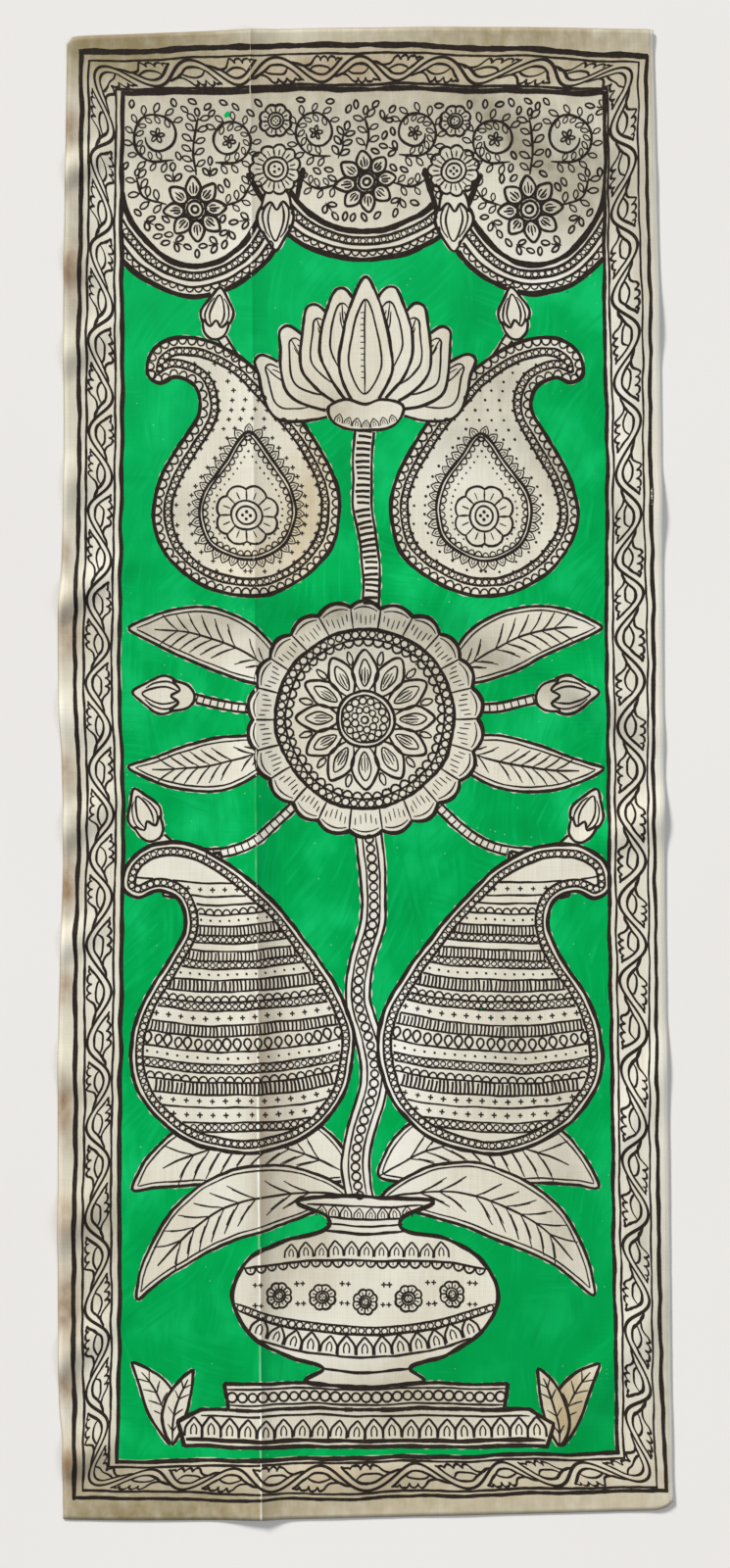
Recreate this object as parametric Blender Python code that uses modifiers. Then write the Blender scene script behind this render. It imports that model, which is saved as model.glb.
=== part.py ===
# Painted silk cloth, lying face up as it was unrolled: one sheet with a long fold left of its middle,
# soft swells across it, and rippled side edges. Units are metres and degrees, and +Z is up.
# The top of the picture is towards +Y. The origin is the middle of the outline, on the surface beneath.

import math
from collections import namedtuple

import bmesh
import bpy

# Driving sizes
WIDEST = 0.314
LONGEST = 0.7616
THICKNESS = 0.001

# How far the two sides stand in from the widest box, by share of the way up the cloth
Side = namedtuple("Side", "along left right")
SIDES = (
    Side(0.000, 0.0028, 0.0000),
    Side(0.050, 0.0024, 0.0004),
    Side(0.080, 0.0006, 0.0008),
    Side(0.180, 0.0000, 0.0015),
    Side(0.300, 0.0000, 0.0028),
    Side(0.390, 0.0015, 0.0037),
    Side(0.455, 0.0028, 0.0042),
    Side(0.510, 0.0021, 0.0045),
    Side(0.560, 0.0003, 0.0048),
    Side(0.600, 0.0000, 0.0051),
    Side(0.655, 0.0021, 0.0054),
    Side(0.725, 0.0031, 0.0058),
    Side(0.810, 0.0028, 0.0068),
    Side(0.930, 0.0040, 0.0088),
    Side(1.000, 0.0048, 0.0102),
)

# The same for the two ends, by share of the way across from the left
End = namedtuple("End", "across bottom top")
ENDS = (
    End(0.000, 0.0008, 0.0090),
    End(0.012, 0.0004, 0.0050),
    End(0.110, 0.0000, 0.0036),
    End(0.320, 0.0004, 0.0014),
    End(0.500, 0.0015, 0.0003),
    End(0.750, 0.0033, 0.0000),
    End(0.900, 0.0045, 0.0006),
    End(0.972, 0.0053, 0.0012),
    End(0.988, 0.0068, 0.0014),
    End(1.000, 0.0100, 0.0019),
)

# The long fold: where its crest stands and how high, by share of the way up the cloth
Fold = namedtuple("Fold", "along crest_x height")
FOLD = (
    Fold(0.00, -0.0530, 0.0022),
    Fold(0.14, -0.0534, 0.0028),
    Fold(0.26, -0.0540, 0.0036),
    Fold(0.43, -0.0553, 0.0042),
    Fold(0.56, -0.0562, 0.0031),
    Fold(0.74, -0.0574, 0.0021),
    Fold(1.00, -0.0590, 0.0017),
)
FOLD_LEFT_REACH = 0.016
FOLD_RIGHT_REACH = 0.010

# A lower swell that follows the long fold on its right
SECOND_SWELL_OFFSET = 0.044
SECOND_SWELL_REACH = 0.020
SECOND_SWELL_SHARE = 0.45

# Soft swells elsewhere: the middle of each, its turn from +X, and its half sizes
Swell = namedtuple("Swell", "x y turn half_length half_width height")
SWELLS = (
    Swell(0.006, 0.090, -6, 0.080, 0.017, 0.0035),
    Swell(0.112, 0.042, -34, 0.056, 0.013, 0.0038),
    Swell(0.088, 0.338, -30, 0.066, 0.014, 0.0033),
    Swell(0.134, 0.246, -52, 0.040, 0.011, 0.0029),
    Swell(0.142, 0.148, -58, 0.034, 0.010, 0.0035),
    Swell(0.138, -0.026, 26, 0.038, 0.012, 0.0035),
    Swell(0.142, -0.165, 62, 0.050, 0.011, 0.0029),
    Swell(0.122, -0.306, 54, 0.048, 0.013, 0.0033),
    Swell(0.030, -0.352, 8, 0.070, 0.012, 0.0026),
    Swell(-0.098, -0.352, -7, 0.052, 0.014, 0.0029),
    Swell(-0.118, 0.336, -48, 0.040, 0.013, 0.0029),
    Swell(-0.096, 0.196, 72, 0.050, 0.014, 0.0023),
    Swell(0.060, -0.120, 80, 0.070, 0.020, 0.0022),
    Swell(0.046, 0.236, 64, 0.050, 0.018, 0.0022),
)

# Ripples that lift the left edge and die out inwards; the slant is their rise along +Y for each
# metre inwards
Ripple = namedtuple("Ripple", "y half_length reach slant height")
LEFT_RIPPLES = (
    Ripple(-0.352, 0.011, 0.026, 0.5, 0.0038),
    Ripple(-0.300, 0.013, 0.034, 0.7, 0.0043),
    Ripple(-0.232, 0.015, 0.032, 0.6, 0.0049),
    Ripple(-0.150, 0.013, 0.026, -0.4, 0.0038),
    Ripple(-0.088, 0.011, 0.024, 0.5, 0.0038),
    Ripple(-0.030, 0.012, 0.030, 0.6, 0.0045),
    Ripple(0.030, 0.014, 0.028, -0.3, 0.0041),
    Ripple(0.086, 0.011, 0.030, 0.6, 0.0049),
    Ripple(0.146, 0.015, 0.024, 0.4, 0.0035),
    Ripple(0.212, 0.012, 0.028, 0.6, 0.0042),
    Ripple(0.262, 0.010, 0.024, -0.4, 0.0036),
    Ripple(0.306, 0.010, 0.026, 0.5, 0.0041),
)

# The right edge and both ends stand up a little, more in some stretches than in others
RIGHT_LIFT = 0.0024
RIGHT_LIFT_REACH = 0.010
RIGHT_LIFT_WAVES = 5
RIGHT_LIFT_START = 0.1
END_LIFT = 0.0014
END_LIFT_REACH = 0.009
END_LIFT_WAVES = 3
END_LIFT_START = 0.3

# How much of the relief sinks flat onto the surface beneath, how softly the rest leaves it, and the
# height up to which a place counts as lying on the surface
SETTLE = 0.0007
EASE = 0.0007
TOUCHING = 0.0002

# Mesh: even rows and columns, the columns crowded towards the long fold, and narrow ones at the rim
COLUMNS = 26
ROWS = 60
RIM_COLUMN = 0.012
RIM_ROW = 0.006
FOLD_PLACE = 0.318
CROWDING = 0.58

SILK_COLOUR = (0.56, 0.50, 0.40, 1.0)
SILK_ROUGHNESS = 0.72
COLLECTION = "pattachitra_painting"


def slope(rows, column, index):
    start, end = rows[index], rows[index + 1]
    return (getattr(end, column) - getattr(start, column)) / (end[0] - start[0])


def tangent(rows, column, index):
    """The curve's slope at one row, level where the rows turn, so that it never runs past them."""
    if index == 0:
        return slope(rows, column, 0)
    if index == len(rows) - 1:
        return slope(rows, column, index - 1)
    before = slope(rows, column, index - 1)
    after = slope(rows, column, index)
    if before * after <= 0:
        return 0.0
    return 2 * before * after / (before + after)


def curve_at(rows, column, place):
    """A smooth curve through one column of a table, read at a place in the table's first column."""
    index = 0
    while index < len(rows) - 2 and rows[index + 1][0] < place:
        index += 1
    start, end = rows[index], rows[index + 1]
    span = end[0] - start[0]
    share = (place - start[0]) / span
    rise = share * share * (3 - 2 * share)
    leaving = share * (1 - share) ** 2 * tangent(rows, column, index)
    arriving = share * share * (share - 1) * tangent(rows, column, index + 1)
    straight = getattr(start, column) * (1 - rise) + getattr(end, column) * rise
    return straight + span * (leaving + arriving)


def bell(distance, reach):
    return math.exp(-((distance / reach) ** 2))


def outline_point(across, along):
    """The place on the surface beneath of a point given by its shares across and along the cloth."""
    left = -WIDEST / 2 + curve_at(SIDES, "left", along)
    right = WIDEST / 2 - curve_at(SIDES, "right", along)
    bottom = -LONGEST / 2 + curve_at(ENDS, "bottom", across)
    top = LONGEST / 2 - curve_at(ENDS, "top", across)
    return left + across * (right - left), bottom + along * (top - bottom)


def fold_lift(x, along):
    from_crest = x - curve_at(FOLD, "crest_x", along)
    reach = FOLD_LEFT_REACH if from_crest < 0 else FOLD_RIGHT_REACH
    second = SECOND_SWELL_SHARE * bell(from_crest - SECOND_SWELL_OFFSET, SECOND_SWELL_REACH)
    return curve_at(FOLD, "height", along) * (bell(from_crest, reach) + second)


def swell_lift(x, y):
    total = 0.0
    for swell in SWELLS:
        turned = math.radians(swell.turn)
        off_x, off_y = x - swell.x, y - swell.y
        lengthwise = off_x * math.cos(turned) + off_y * math.sin(turned)
        sideways = off_y * math.cos(turned) - off_x * math.sin(turned)
        share = bell(lengthwise, swell.half_length) * bell(sideways, swell.half_width)
        total += swell.height * share
    return total


def ripple_lift(y, inward):
    total = 0.0
    for ripple in LEFT_RIPPLES:
        off_y = y - ripple.y - ripple.slant * inward
        total += ripple.height * bell(off_y, ripple.half_length) * bell(inward, ripple.reach)
    return total


def wave(place, count, start):
    """From 0 to 1 and back, a number of times over a share of 1."""
    return 0.5 + 0.5 * math.sin(2 * math.pi * (count * place + start))


def right_lift(along, inward):
    share = wave(along, RIGHT_LIFT_WAVES, RIGHT_LIFT_START)
    return RIGHT_LIFT * share * bell(inward, RIGHT_LIFT_REACH)


def end_lift(across, inward):
    share = wave(across, END_LIFT_WAVES, END_LIFT_START)
    return END_LIFT * share * bell(inward, END_LIFT_REACH)


def lift(across, along):
    """The height of the cloth's underside: nothing where it lies flat, a few millimetres at folds."""
    x, y = outline_point(across, along)
    left_x, right_x = outline_point(0.0, along)[0], outline_point(1.0, along)[0]
    bottom_y, top_y = outline_point(across, 0.0)[1], outline_point(across, 1.0)[1]
    relief = fold_lift(x, along) + swell_lift(x, y)
    relief += ripple_lift(y, x - left_x) + right_lift(along, right_x - x)
    relief += end_lift(across, min(y - bottom_y, top_y - y))
    free = max(relief - SETTLE, 0.0)
    height = free * free / (free + EASE)
    return height if height > TOUCHING else 0.0


def crowded(share):
    """Moves evenly spaced columns towards the long fold."""
    turn = 2 * math.pi
    pull = math.sin(turn * (share - FOLD_PLACE)) + math.sin(turn * FOLD_PLACE)
    return share - CROWDING / turn * pull


def column_places():
    inner = [crowded(i / COLUMNS) for i in range(1, COLUMNS)]
    return [0.0, RIM_COLUMN] + inner + [1 - RIM_COLUMN, 1.0]


def row_places():
    inner = [i / ROWS for i in range(1, ROWS)]
    return [0.0, RIM_ROW] + inner + [1 - RIM_ROW, 1.0]


def silk_material():
    material = bpy.data.materials.new("painted_silk")
    material.use_nodes = True
    shader = material.node_tree.nodes["Principled BSDF"]
    shader.inputs["Base Color"].default_value = SILK_COLOUR
    shader.inputs["Roughness"].default_value = SILK_ROUGHNESS
    shader.inputs["Metallic"].default_value = 0.0
    material.diffuse_color = SILK_COLOUR
    return material


def underside_mesh():
    """A grid, each point moved to its place in the outline and lifted."""
    columns = column_places()
    rows = row_places()
    last_column, last_row = len(columns) - 1, len(rows) - 1
    grid = bmesh.new()
    bmesh.ops.create_grid(grid, x_segments=last_column, y_segments=last_row, size=0.5)
    for point in grid.verts:
        across = columns[round((point.co.x + 0.5) * last_column)]
        along = rows[round((point.co.y + 0.5) * last_row)]
        x, y = outline_point(across, along)
        point.co = (x, y, lift(across, along))
    mesh = bpy.data.meshes.new("painted_cloth")
    grid.to_mesh(mesh)
    grid.free()
    mesh.shade_smooth()
    return mesh


def painted_cloth(collection):
    """The sheet: its underside, thickened upwards."""
    cloth = bpy.data.objects.new("painted_cloth", underside_mesh())
    cloth.data.materials.append(silk_material())
    thickness = cloth.modifiers.new("thickness", "SOLIDIFY")
    thickness.thickness = THICKNESS
    thickness.offset = 1.0
    thickness.use_even_offset = True
    collection.objects.link(cloth)


def main():
    for old in list(bpy.data.objects):
        bpy.data.objects.remove(old)
    collection = bpy.data.collections.new(COLLECTION)
    bpy.context.scene.collection.children.link(collection)
    painted_cloth(collection)


main()
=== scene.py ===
# Painted tussar silk: one length of cloth lying face up, with a flower panel on green inside a leaf-vine
# border. The scene is in metres and the drawing in millimetres. +Y is the top of the picture, +Z is up.

import math
import random

import bpy
import numpy as np
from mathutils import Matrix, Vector, noise
from mathutils.geometry import delaunay_2d_cdt


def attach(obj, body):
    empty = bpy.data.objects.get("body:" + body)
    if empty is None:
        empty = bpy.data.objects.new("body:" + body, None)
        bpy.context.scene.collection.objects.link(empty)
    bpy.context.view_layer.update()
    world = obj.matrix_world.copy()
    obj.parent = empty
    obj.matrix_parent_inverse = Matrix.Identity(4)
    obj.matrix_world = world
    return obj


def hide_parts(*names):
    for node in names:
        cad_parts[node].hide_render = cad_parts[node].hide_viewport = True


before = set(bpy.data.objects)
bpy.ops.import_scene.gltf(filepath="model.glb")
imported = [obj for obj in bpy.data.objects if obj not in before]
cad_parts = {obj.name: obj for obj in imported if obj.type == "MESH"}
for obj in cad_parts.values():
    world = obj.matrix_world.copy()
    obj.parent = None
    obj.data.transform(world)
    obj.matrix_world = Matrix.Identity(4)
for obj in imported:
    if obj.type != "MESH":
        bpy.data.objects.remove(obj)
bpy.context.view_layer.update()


def hexColour(code):
    # an sRGB hex value as linear light
    channels = [int(code[i:i + 2], 16) / 255 for i in (0, 2, 4)]
    return tuple(c / 12.92 if c <= 0.04045 else ((c + 0.055) / 1.055) ** 2.4 for c in channels) + (1.0,)


def addNode(tree, kind, inputs=None, **settings):
    # an input takes a value, a socket, or the first output of a node
    node = tree.nodes.new(kind)
    for name, value in settings.items():
        setattr(node, name, value)
    for name, value in (inputs or {}).items():
        if isinstance(value, bpy.types.Node):
            value = value.outputs[0]
        if isinstance(value, bpy.types.NodeSocket):
            tree.links.new(value, node.inputs[name])
        else:
            node.inputs[name].default_value = value
    return node


def linkPiece(name, data):
    piece = bpy.data.objects.new(name, data)
    bpy.context.scene.collection.objects.link(piece)
    return piece


def drawnMesh(name, points, edges=(), faces=(), heights=None):
    # a drawing in millimetres as a mesh in metres, flat but for its heights, which are in metres
    if heights is None:
        heights = np.zeros(len(points))
    places = np.column_stack([np.array(points, float).reshape(-1, 2) / 1000, heights])
    mesh = bpy.data.meshes.new(name)
    mesh.from_pydata(places.tolist(), edges, faces)
    return mesh


# Camera straight above, at arm's length over a table.
cameraPlan = {"middle": (-0.00025, -0.00525), "viewHeight": 0.800, "distance": 1.25, "sensorHeight": 36.0}
cameraData = bpy.data.cameras.new("camera")
cameraData.sensor_fit = "VERTICAL"
cameraData.sensor_height = cameraPlan["sensorHeight"]
cameraData.lens = cameraPlan["sensorHeight"] * cameraPlan["distance"] / cameraPlan["viewHeight"]
camera = linkPiece("camera", cameraData)
camera.location = (*cameraPlan["middle"], cameraPlan["distance"])
bpy.context.scene.camera = camera


# The cloth: its outline and folds are the solid's, with the finer creases added.
clothPlan = {
    "widest": 0.314, "longest": 0.7616,
    "thickness": 0.00045,       # tussar silk with its gum priming
    "clearance": 0.00005,
    "columns": 120, "rows": 336,
    "crowding": {"place": 0.319, "reach": 0.024, "extra": 2.6},     # of the columns, near the long fold
    "creaseHeight": 0.0004, "creaseReach": 0.0011,
    "crinkleHeight": 0.00026,
    "crinkles": ((0.5, 42, 30, 2.7), (0.28, 110, 85, 9.1)),         # share, how many across and along, seed
}

# How far the sides stand in from the box, by share of the way up: share, left, right.
sideRows = (
    (0.000, 0.0028, 0.0000), (0.050, 0.0024, 0.0004), (0.080, 0.0006, 0.0008), (0.180, 0.0000, 0.0015),
    (0.300, 0.0000, 0.0028), (0.390, 0.0015, 0.0037), (0.455, 0.0028, 0.0042), (0.510, 0.0021, 0.0045),
    (0.560, 0.0003, 0.0048), (0.600, 0.0000, 0.0051), (0.655, 0.0021, 0.0054), (0.725, 0.0031, 0.0058),
    (0.810, 0.0028, 0.0068), (0.930, 0.0040, 0.0088), (1.000, 0.0048, 0.0102),
)
# The same for the ends, by share of the way across: share, bottom, top.
endRows = (
    (0.000, 0.0008, 0.0090), (0.012, 0.0004, 0.0050), (0.110, 0.0000, 0.0036), (0.320, 0.0004, 0.0014),
    (0.500, 0.0015, 0.0003), (0.750, 0.0033, 0.0000), (0.900, 0.0045, 0.0006), (0.972, 0.0053, 0.0012),
    (0.988, 0.0068, 0.0014), (1.000, 0.0100, 0.0019),
)
# The long fold: share of the way up, where its crest stands, height.
foldRows = (
    (0.00, -0.0530, 0.0022), (0.14, -0.0534, 0.0028), (0.26, -0.0540, 0.0036), (0.43, -0.0553, 0.0042),
    (0.56, -0.0562, 0.0031), (0.74, -0.0574, 0.0021), (1.00, -0.0590, 0.0017),
)
foldPlan = {
    "leftReach": 0.016, "rightReach": 0.010,
    "swellOffset": 0.044, "swellReach": 0.020, "swellShare": 0.45,
}
# Soft swells: x, y, turn in degrees, half length, half width, height.
swells = (
    (0.006, 0.090, -6, 0.080, 0.017, 0.0035), (0.112, 0.042, -34, 0.056, 0.013, 0.0038),
    (0.088, 0.338, -30, 0.066, 0.014, 0.0033), (0.134, 0.246, -52, 0.040, 0.011, 0.0029),
    (0.142, 0.148, -58, 0.034, 0.010, 0.0035), (0.138, -0.026, 26, 0.038, 0.012, 0.0035),
    (0.142, -0.165, 62, 0.050, 0.011, 0.0029), (0.122, -0.306, 54, 0.048, 0.013, 0.0033),
    (0.030, -0.352, 8, 0.070, 0.012, 0.0026), (-0.098, -0.352, -7, 0.052, 0.014, 0.0029),
    (-0.118, 0.336, -48, 0.040, 0.013, 0.0029), (-0.096, 0.196, 72, 0.050, 0.014, 0.0023),
    (0.060, -0.120, 80, 0.070, 0.020, 0.0022), (0.046, 0.236, 64, 0.050, 0.018, 0.0022),
)
# Ripples along the left edge: y, half length, reach inwards, slant, height.
leftRipples = (
    (-0.352, 0.011, 0.026, 0.5, 0.0038), (-0.300, 0.013, 0.034, 0.7, 0.0043),
    (-0.232, 0.015, 0.032, 0.6, 0.0049), (-0.150, 0.013, 0.026, -0.4, 0.0038),
    (-0.088, 0.011, 0.024, 0.5, 0.0038), (-0.030, 0.012, 0.030, 0.6, 0.0045),
    (0.030, 0.014, 0.028, -0.3, 0.0041), (0.086, 0.011, 0.030, 0.6, 0.0049),
    (0.146, 0.015, 0.024, 0.4, 0.0035), (0.212, 0.012, 0.028, 0.6, 0.0042),
    (0.262, 0.010, 0.024, -0.4, 0.0036), (0.306, 0.010, 0.026, 0.5, 0.0041),
)
# Height, reach, waves, start. The edges lie a little flatter than the solid's, as silk would.
edgeLifts = {"right": (0.0013, 0.010, 5, 0.1), "ends": (0.0010, 0.009, 3, 0.3)}
settling = {"sunk": 0.0007, "ease": 0.0007}
# Sharp creases pressed in while it was folded away: ends in mm, height in mm, reach in mm.
shortCreases = (
    ((-32.0, 382.0), (-34.0, 352.0), 0.30, 1.0),
    ((119.0, 381.0), (121.0, 356.0), 0.26, 1.0),
    ((-125.0, 152.5), (-108.0, 151.8), 0.16, 1.2),
    ((60.0, 378.0), (66.0, 350.0), 0.16, 1.6),
)


def curveAt(rows, column, places):
    # a smooth curve through one column of a table, which never runs past its rows
    table = np.array(rows)
    starts, values = table[:, 0], table[:, column]
    slopes = np.diff(values) / np.diff(starts)
    before, after = slopes[:-1], slopes[1:]
    same = before * after > 0
    turning = np.where(same, 2 * before * after / np.where(same, before + after, 1.0), 0.0)
    tangents = np.concatenate([slopes[:1], turning, slopes[-1:]])
    index = np.clip(np.searchsorted(starts, places) - 1, 0, len(slopes) - 1)
    span = starts[index + 1] - starts[index]
    share = (places - starts[index]) / span
    rise = share * share * (3 - 2 * share)
    leaving = share * (1 - share) ** 2 * tangents[index]
    arriving = share * share * (share - 1) * tangents[index + 1]
    return values[index] * (1 - rise) + values[index + 1] * rise + span * (leaving + arriving)


def bell(distance, reach):
    return np.exp(-((distance / reach) ** 2))


def clothOutline(across, along):
    left = -clothPlan["widest"] / 2 + curveAt(sideRows, 1, along)
    right = clothPlan["widest"] / 2 - curveAt(sideRows, 2, along)
    bottom = -clothPlan["longest"] / 2 + curveAt(endRows, 1, across)
    top = clothPlan["longest"] / 2 - curveAt(endRows, 2, across)
    return left + across * (right - left), bottom + along * (top - bottom), left, right, bottom, top


def clothLift(across, along):
    # the solid's own folds and swells
    x, y, left, right, bottom, top = clothOutline(across, along)
    fromCrest = x - curveAt(foldRows, 1, along)
    reach = np.where(fromCrest < 0, foldPlan["leftReach"], foldPlan["rightReach"])
    second = foldPlan["swellShare"] * bell(fromCrest - foldPlan["swellOffset"], foldPlan["swellReach"])
    relief = curveAt(foldRows, 2, along) * (bell(fromCrest, reach) + second)
    for swellX, swellY, turn, halfLength, halfWidth, height in swells:
        angle = math.radians(turn)
        offX, offY = x - swellX, y - swellY
        lengthwise = offX * math.cos(angle) + offY * math.sin(angle)
        sideways = offY * math.cos(angle) - offX * math.sin(angle)
        relief = relief + height * bell(lengthwise, halfLength) * bell(sideways, halfWidth)
    inward = x - left
    for rippleY, halfLength, reach, slant, height in leftRipples:
        relief = relief + height * bell(y - rippleY - slant * inward, halfLength) * bell(inward, reach)
    for distance, share, plan in (
        (right - x, along, edgeLifts["right"]),
        (np.minimum(y - bottom, top - y), across, edgeLifts["ends"]),
    ):
        height, reach, waves, start = plan
        wave = 0.5 + 0.5 * np.sin(2 * math.pi * (waves * share + start))
        relief = relief + height * wave * bell(distance, reach)
    free = np.maximum(relief - settling["sunk"], 0.0)
    return free * free / (free + settling["ease"])


def fineRelief(x, y, fromCrest):
    # pressed creases and the crinkle of gummed silk; never below the solid's own surface
    crease = clothPlan["creaseHeight"] * np.exp(-np.abs(fromCrest) / clothPlan["creaseReach"])
    for (startX, startY), (endX, endY), height, reach in shortCreases:
        alongX, alongY = endX - startX, endY - startY
        length = math.hypot(alongX, alongY)
        offX, offY = x * 1000 - startX, y * 1000 - startY
        share = (offX * alongX + offY * alongY) / length ** 2
        away = np.abs(offX * alongY - offY * alongX) / length
        fade = np.clip(np.minimum(share, 1 - share) * 6 + 0.4, 0, 1)
        crease = crease + height / 1000 * np.exp(-away / reach) * fade
    crinkle = np.full(x.shape, 0.5)
    for index in np.ndindex(x.shape):
        for share, across, along, seed in clothPlan["crinkles"]:
            crinkle[index] += share * noise.noise(Vector((x[index] * across, y[index] * along, seed)))
    return crease + clothPlan["crinkleHeight"] * np.clip(crinkle, 0, 1.2)


def columnPlaces():
    # columns crowd towards the long fold, whose crease is sharp
    crowding = clothPlan["crowding"]
    places = np.linspace(0, 1, 2001)
    density = 1 + crowding["extra"] * bell(places - crowding["place"], crowding["reach"])
    total = np.concatenate([[0], np.cumsum((density[1:] + density[:-1]) / 2)])
    return np.interp(np.linspace(0, total[-1], clothPlan["columns"] + 1), total, places)


def shadeAndTintPatches(x, y, patches):
    # soft patches: x, y, half length, half width in mm, turn in degrees, strength
    total = np.zeros(x.shape)
    for spotX, spotY, halfLength, halfWidth, turn, strength in patches:
        angle = math.radians(turn)
        offX, offY = x * 1000 - spotX, y * 1000 - spotY
        lengthwise = offX * math.cos(angle) + offY * math.sin(angle)
        sideways = offY * math.cos(angle) - offX * math.sin(angle)
        total = np.maximum(total, strength * bell(lengthwise, halfLength) * bell(sideways, halfWidth))
    return total


# Patches of painted light and shade on the cloth, with a few tints: pale ones are painted highlight, grey
# ones painted shade in its hollows, brown ones painted shade, mostly by the lifted left edge's ripples and
# right of the long fold, khaki ones at the ends partly painted shade and partly a tint, yellow ones stains.
paintedLightAndTints = {
    "pale": (
        (-62, -60, 300, 5, 90, 0.3), (150, -40, 330, 8, 90, 0.45), (94, 248, 34, 20, -60, 0.7),
        (130, 185, 50, 9, 90, 0.5), (-53, 266, 22, 14, 0, 0.45), (35, 158, 34, 22, 0, 0.35),
        (-131, 111, 16, 12, 0, 0.2), (118, 88, 60, 16, 90, 0.4), (-53, 49, 16, 14, 0, 0.4),
        (-66, -28, 30, 26, 90, 0.5), (8, -140, 92, 27, 90, 0.85), (-72, -175, 50, 12, 90, 0.4),
        (-28, -292, 44, 16, 0, 0.45), (128, -180, 40, 10, 90, 0.35), (-103, -90, 70, 12, 90, 0.4),
    ),
    "shaded": (
        (-122, 371, 54, 25, 0, 1.06), (10, 338, 240, 32, 0, 0.50), (79, 321, 60, 13, -41, 0.9),
        (24, 297, 18, 14, 0, 0.3), (100, 154, 58, 11, -43, 0.55), (60, 190, 24, 18, 0, 0.3),
        (-85, 76, 62, 11, 8, 0.52), (-20, 82, 30, 9, 0, 0.6), (58, 60, 55, 10, -22, 0.62),
        (115, 33, 34, 9, -27, 0.5), (102, -215, 70, 14, 90, 0.38), (76, -152, 30, 16, 90, 0.32),
        (-138, -352, 34, 20, 0, 0.6), (152, -300, 100, 9, 90, 0.48), (154, -90, 110, 7, 90, 0.26),
        (110, 302, 34, 30, 20, 0.72), (142, 275, 90, 7, 90, 0.45), (-148, 262, 80, 7, 90, 0.50),
        (-42, 80, 26, 11, 0, 0.5), (40, 50, 28, 14, 0, 0.42), (70, 198, 28, 16, 0, 0.42),
        (56, 172, 26, 14, 0, 0.4), (-52, -238, 60, 16, 90, 0.3), (-14, 62, 66, 8, 0, 0.34),
        (-15, 188, 13, 11, 0, 0.42), (-93, 134, 22, 9, 0, 0.26), (141, -240, 24, 6, 90, 0.4),
        (-149, 143, 18, 5, 90, 0.45), (-149, 98, 9, 5, 90, 0.5), (-149, -22, 18, 5, 90, 0.5),
        (-149, -188, 9, 5, 90, 0.4), (-149, -306, 36, 5, 90, 0.45),
    ),
    "yellow": (
        (-30, 135, 48, 14, 80, 0.55), (-54, 110, 20, 14, 0, 0.4), (104, -325, 27, 11, 90, 0.75),
        (0, -364, 200, 20, 0, 0.48), (10, 362, 190, 14, 0, 0.4),
    ),
    "khakiAndShade": (
        (-125, 382, 82, 27, 0, 0.85), (76, 382, 100, 27, 0, 0.82), (-100, -378, 92, 15, 0, 0.95),
        (40, -374, 170, 15, 0, 0.41), (-132, -232, 40, 16, 90, 0.5), (-27, -232, 20, 13, 90, 0.42),
        (15, -318, 46, 20, 0, 0.45), (104, -325, 26, 10, 90, 0.5), (-120, -384, 60, 12, 0, 0.85),
    ),
    "brownShade": (
        (-152, 329, 6, 10, 0, 0.9), (-154, 297, 4, 6, 0, 0.55), (-152, 256, 7, 15, 0, 0.9),
        (-154, 114, 5, 9, 0, 0.75), (-152, 72, 7, 16, 0, 0.75), (-154, 1, 6, 11, 0, 0.85),
        (-153, -56, 7, 18, 0, 0.95), (-154, -108, 6, 12, 0, 0.8), (-154, -170, 6, 16, 0, 0.9),
        (-153, -225, 6, 12, 0, 0.75), (-153, -272, 7, 18, 0, 0.95), (-154, -312, 6, 9, 0, 0.8),
        (-153, -352, 7, 12, 0, 0.9), (-50, -160, 62, 8, 90, 0.42), (-22, 358, 34, 9, 0, 0.42),
        (-40, -184, 52, 7, 90, 0.32), (-6, -356, 26, 12, 0, 0.3),
    ),
}


def makeCloth():
    along, across = np.meshgrid(np.linspace(0, 1, clothPlan["rows"] + 1), columnPlaces(), indexing="ij")
    x, y, left, right, bottom, top = clothOutline(across, along)
    under = clothLift(across, along) + clothPlan["clearance"]
    over = under + clothPlan["thickness"] + fineRelief(x, y, x - curveAt(foldRows, 1, along))
    rows, columns = x.shape
    size = rows * columns
    places = np.vstack([np.column_stack([x.ravel(), y.ravel(), z.ravel()]) for z in (over, under)])
    corner = (np.arange(rows - 1)[:, None] * columns + np.arange(columns - 1)[None, :]).ravel()
    upper = np.column_stack([corner, corner + 1, corner + columns + 1, corner + columns])
    rim = np.concatenate([
        np.arange(columns), np.arange(1, rows) * columns + columns - 1,
        (rows - 1) * columns + np.arange(columns - 2, -1, -1), np.arange(rows - 2, 0, -1) * columns,
    ])
    after = np.roll(rim, -1)
    edge = np.column_stack([rim, rim + size, after + size, after])
    mesh = bpy.data.meshes.new("silk_cloth")
    mesh.from_pydata(places.tolist(), [], np.vstack([upper, upper[:, ::-1] + size, edge]).tolist())
    mesh.shade_smooth()
    layers = {name: shadeAndTintPatches(x, y, patches) for name, patches in paintedLightAndTints.items()}
    layers["fromRightEdge"] = right - x
    layers["fromCutEdge"] = np.minimum(x - left, np.minimum(y - bottom, top - y))
    for name, values in layers.items():
        mesh.attributes.new(name, "FLOAT", "POINT").data.foreach_set("value", np.tile(values.ravel(), 2))
    print("cloth:", len(mesh.polygons), "faces")
    return linkPiece("silk_cloth", mesh), x, y


cloth, gridX, gridY = makeCloth()


# The painting is drawn in millimetres from the middle of the cloth, back to front.
hand = {
    "press": 1.34,                              # how much wider a line is than the brush was meant to draw
    "sway": 0.55, "swaySize": 34.0, "seed": 11,
    "shake": 0.13, "shakeSize": 5.5,
    "widthChange": 0.16, "widthSize": 9.0, "widthRates": (2.4, 11.0), "edge": 0.5, "taperPoints": 4,
    "layerStep": 0.0000015, "layerCount": 16,   # so that strips that cross never share a plane
}
drawing = []        # lines and rows, back to front
silhouettes = []    # outlines that the green ground stops at


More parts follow.
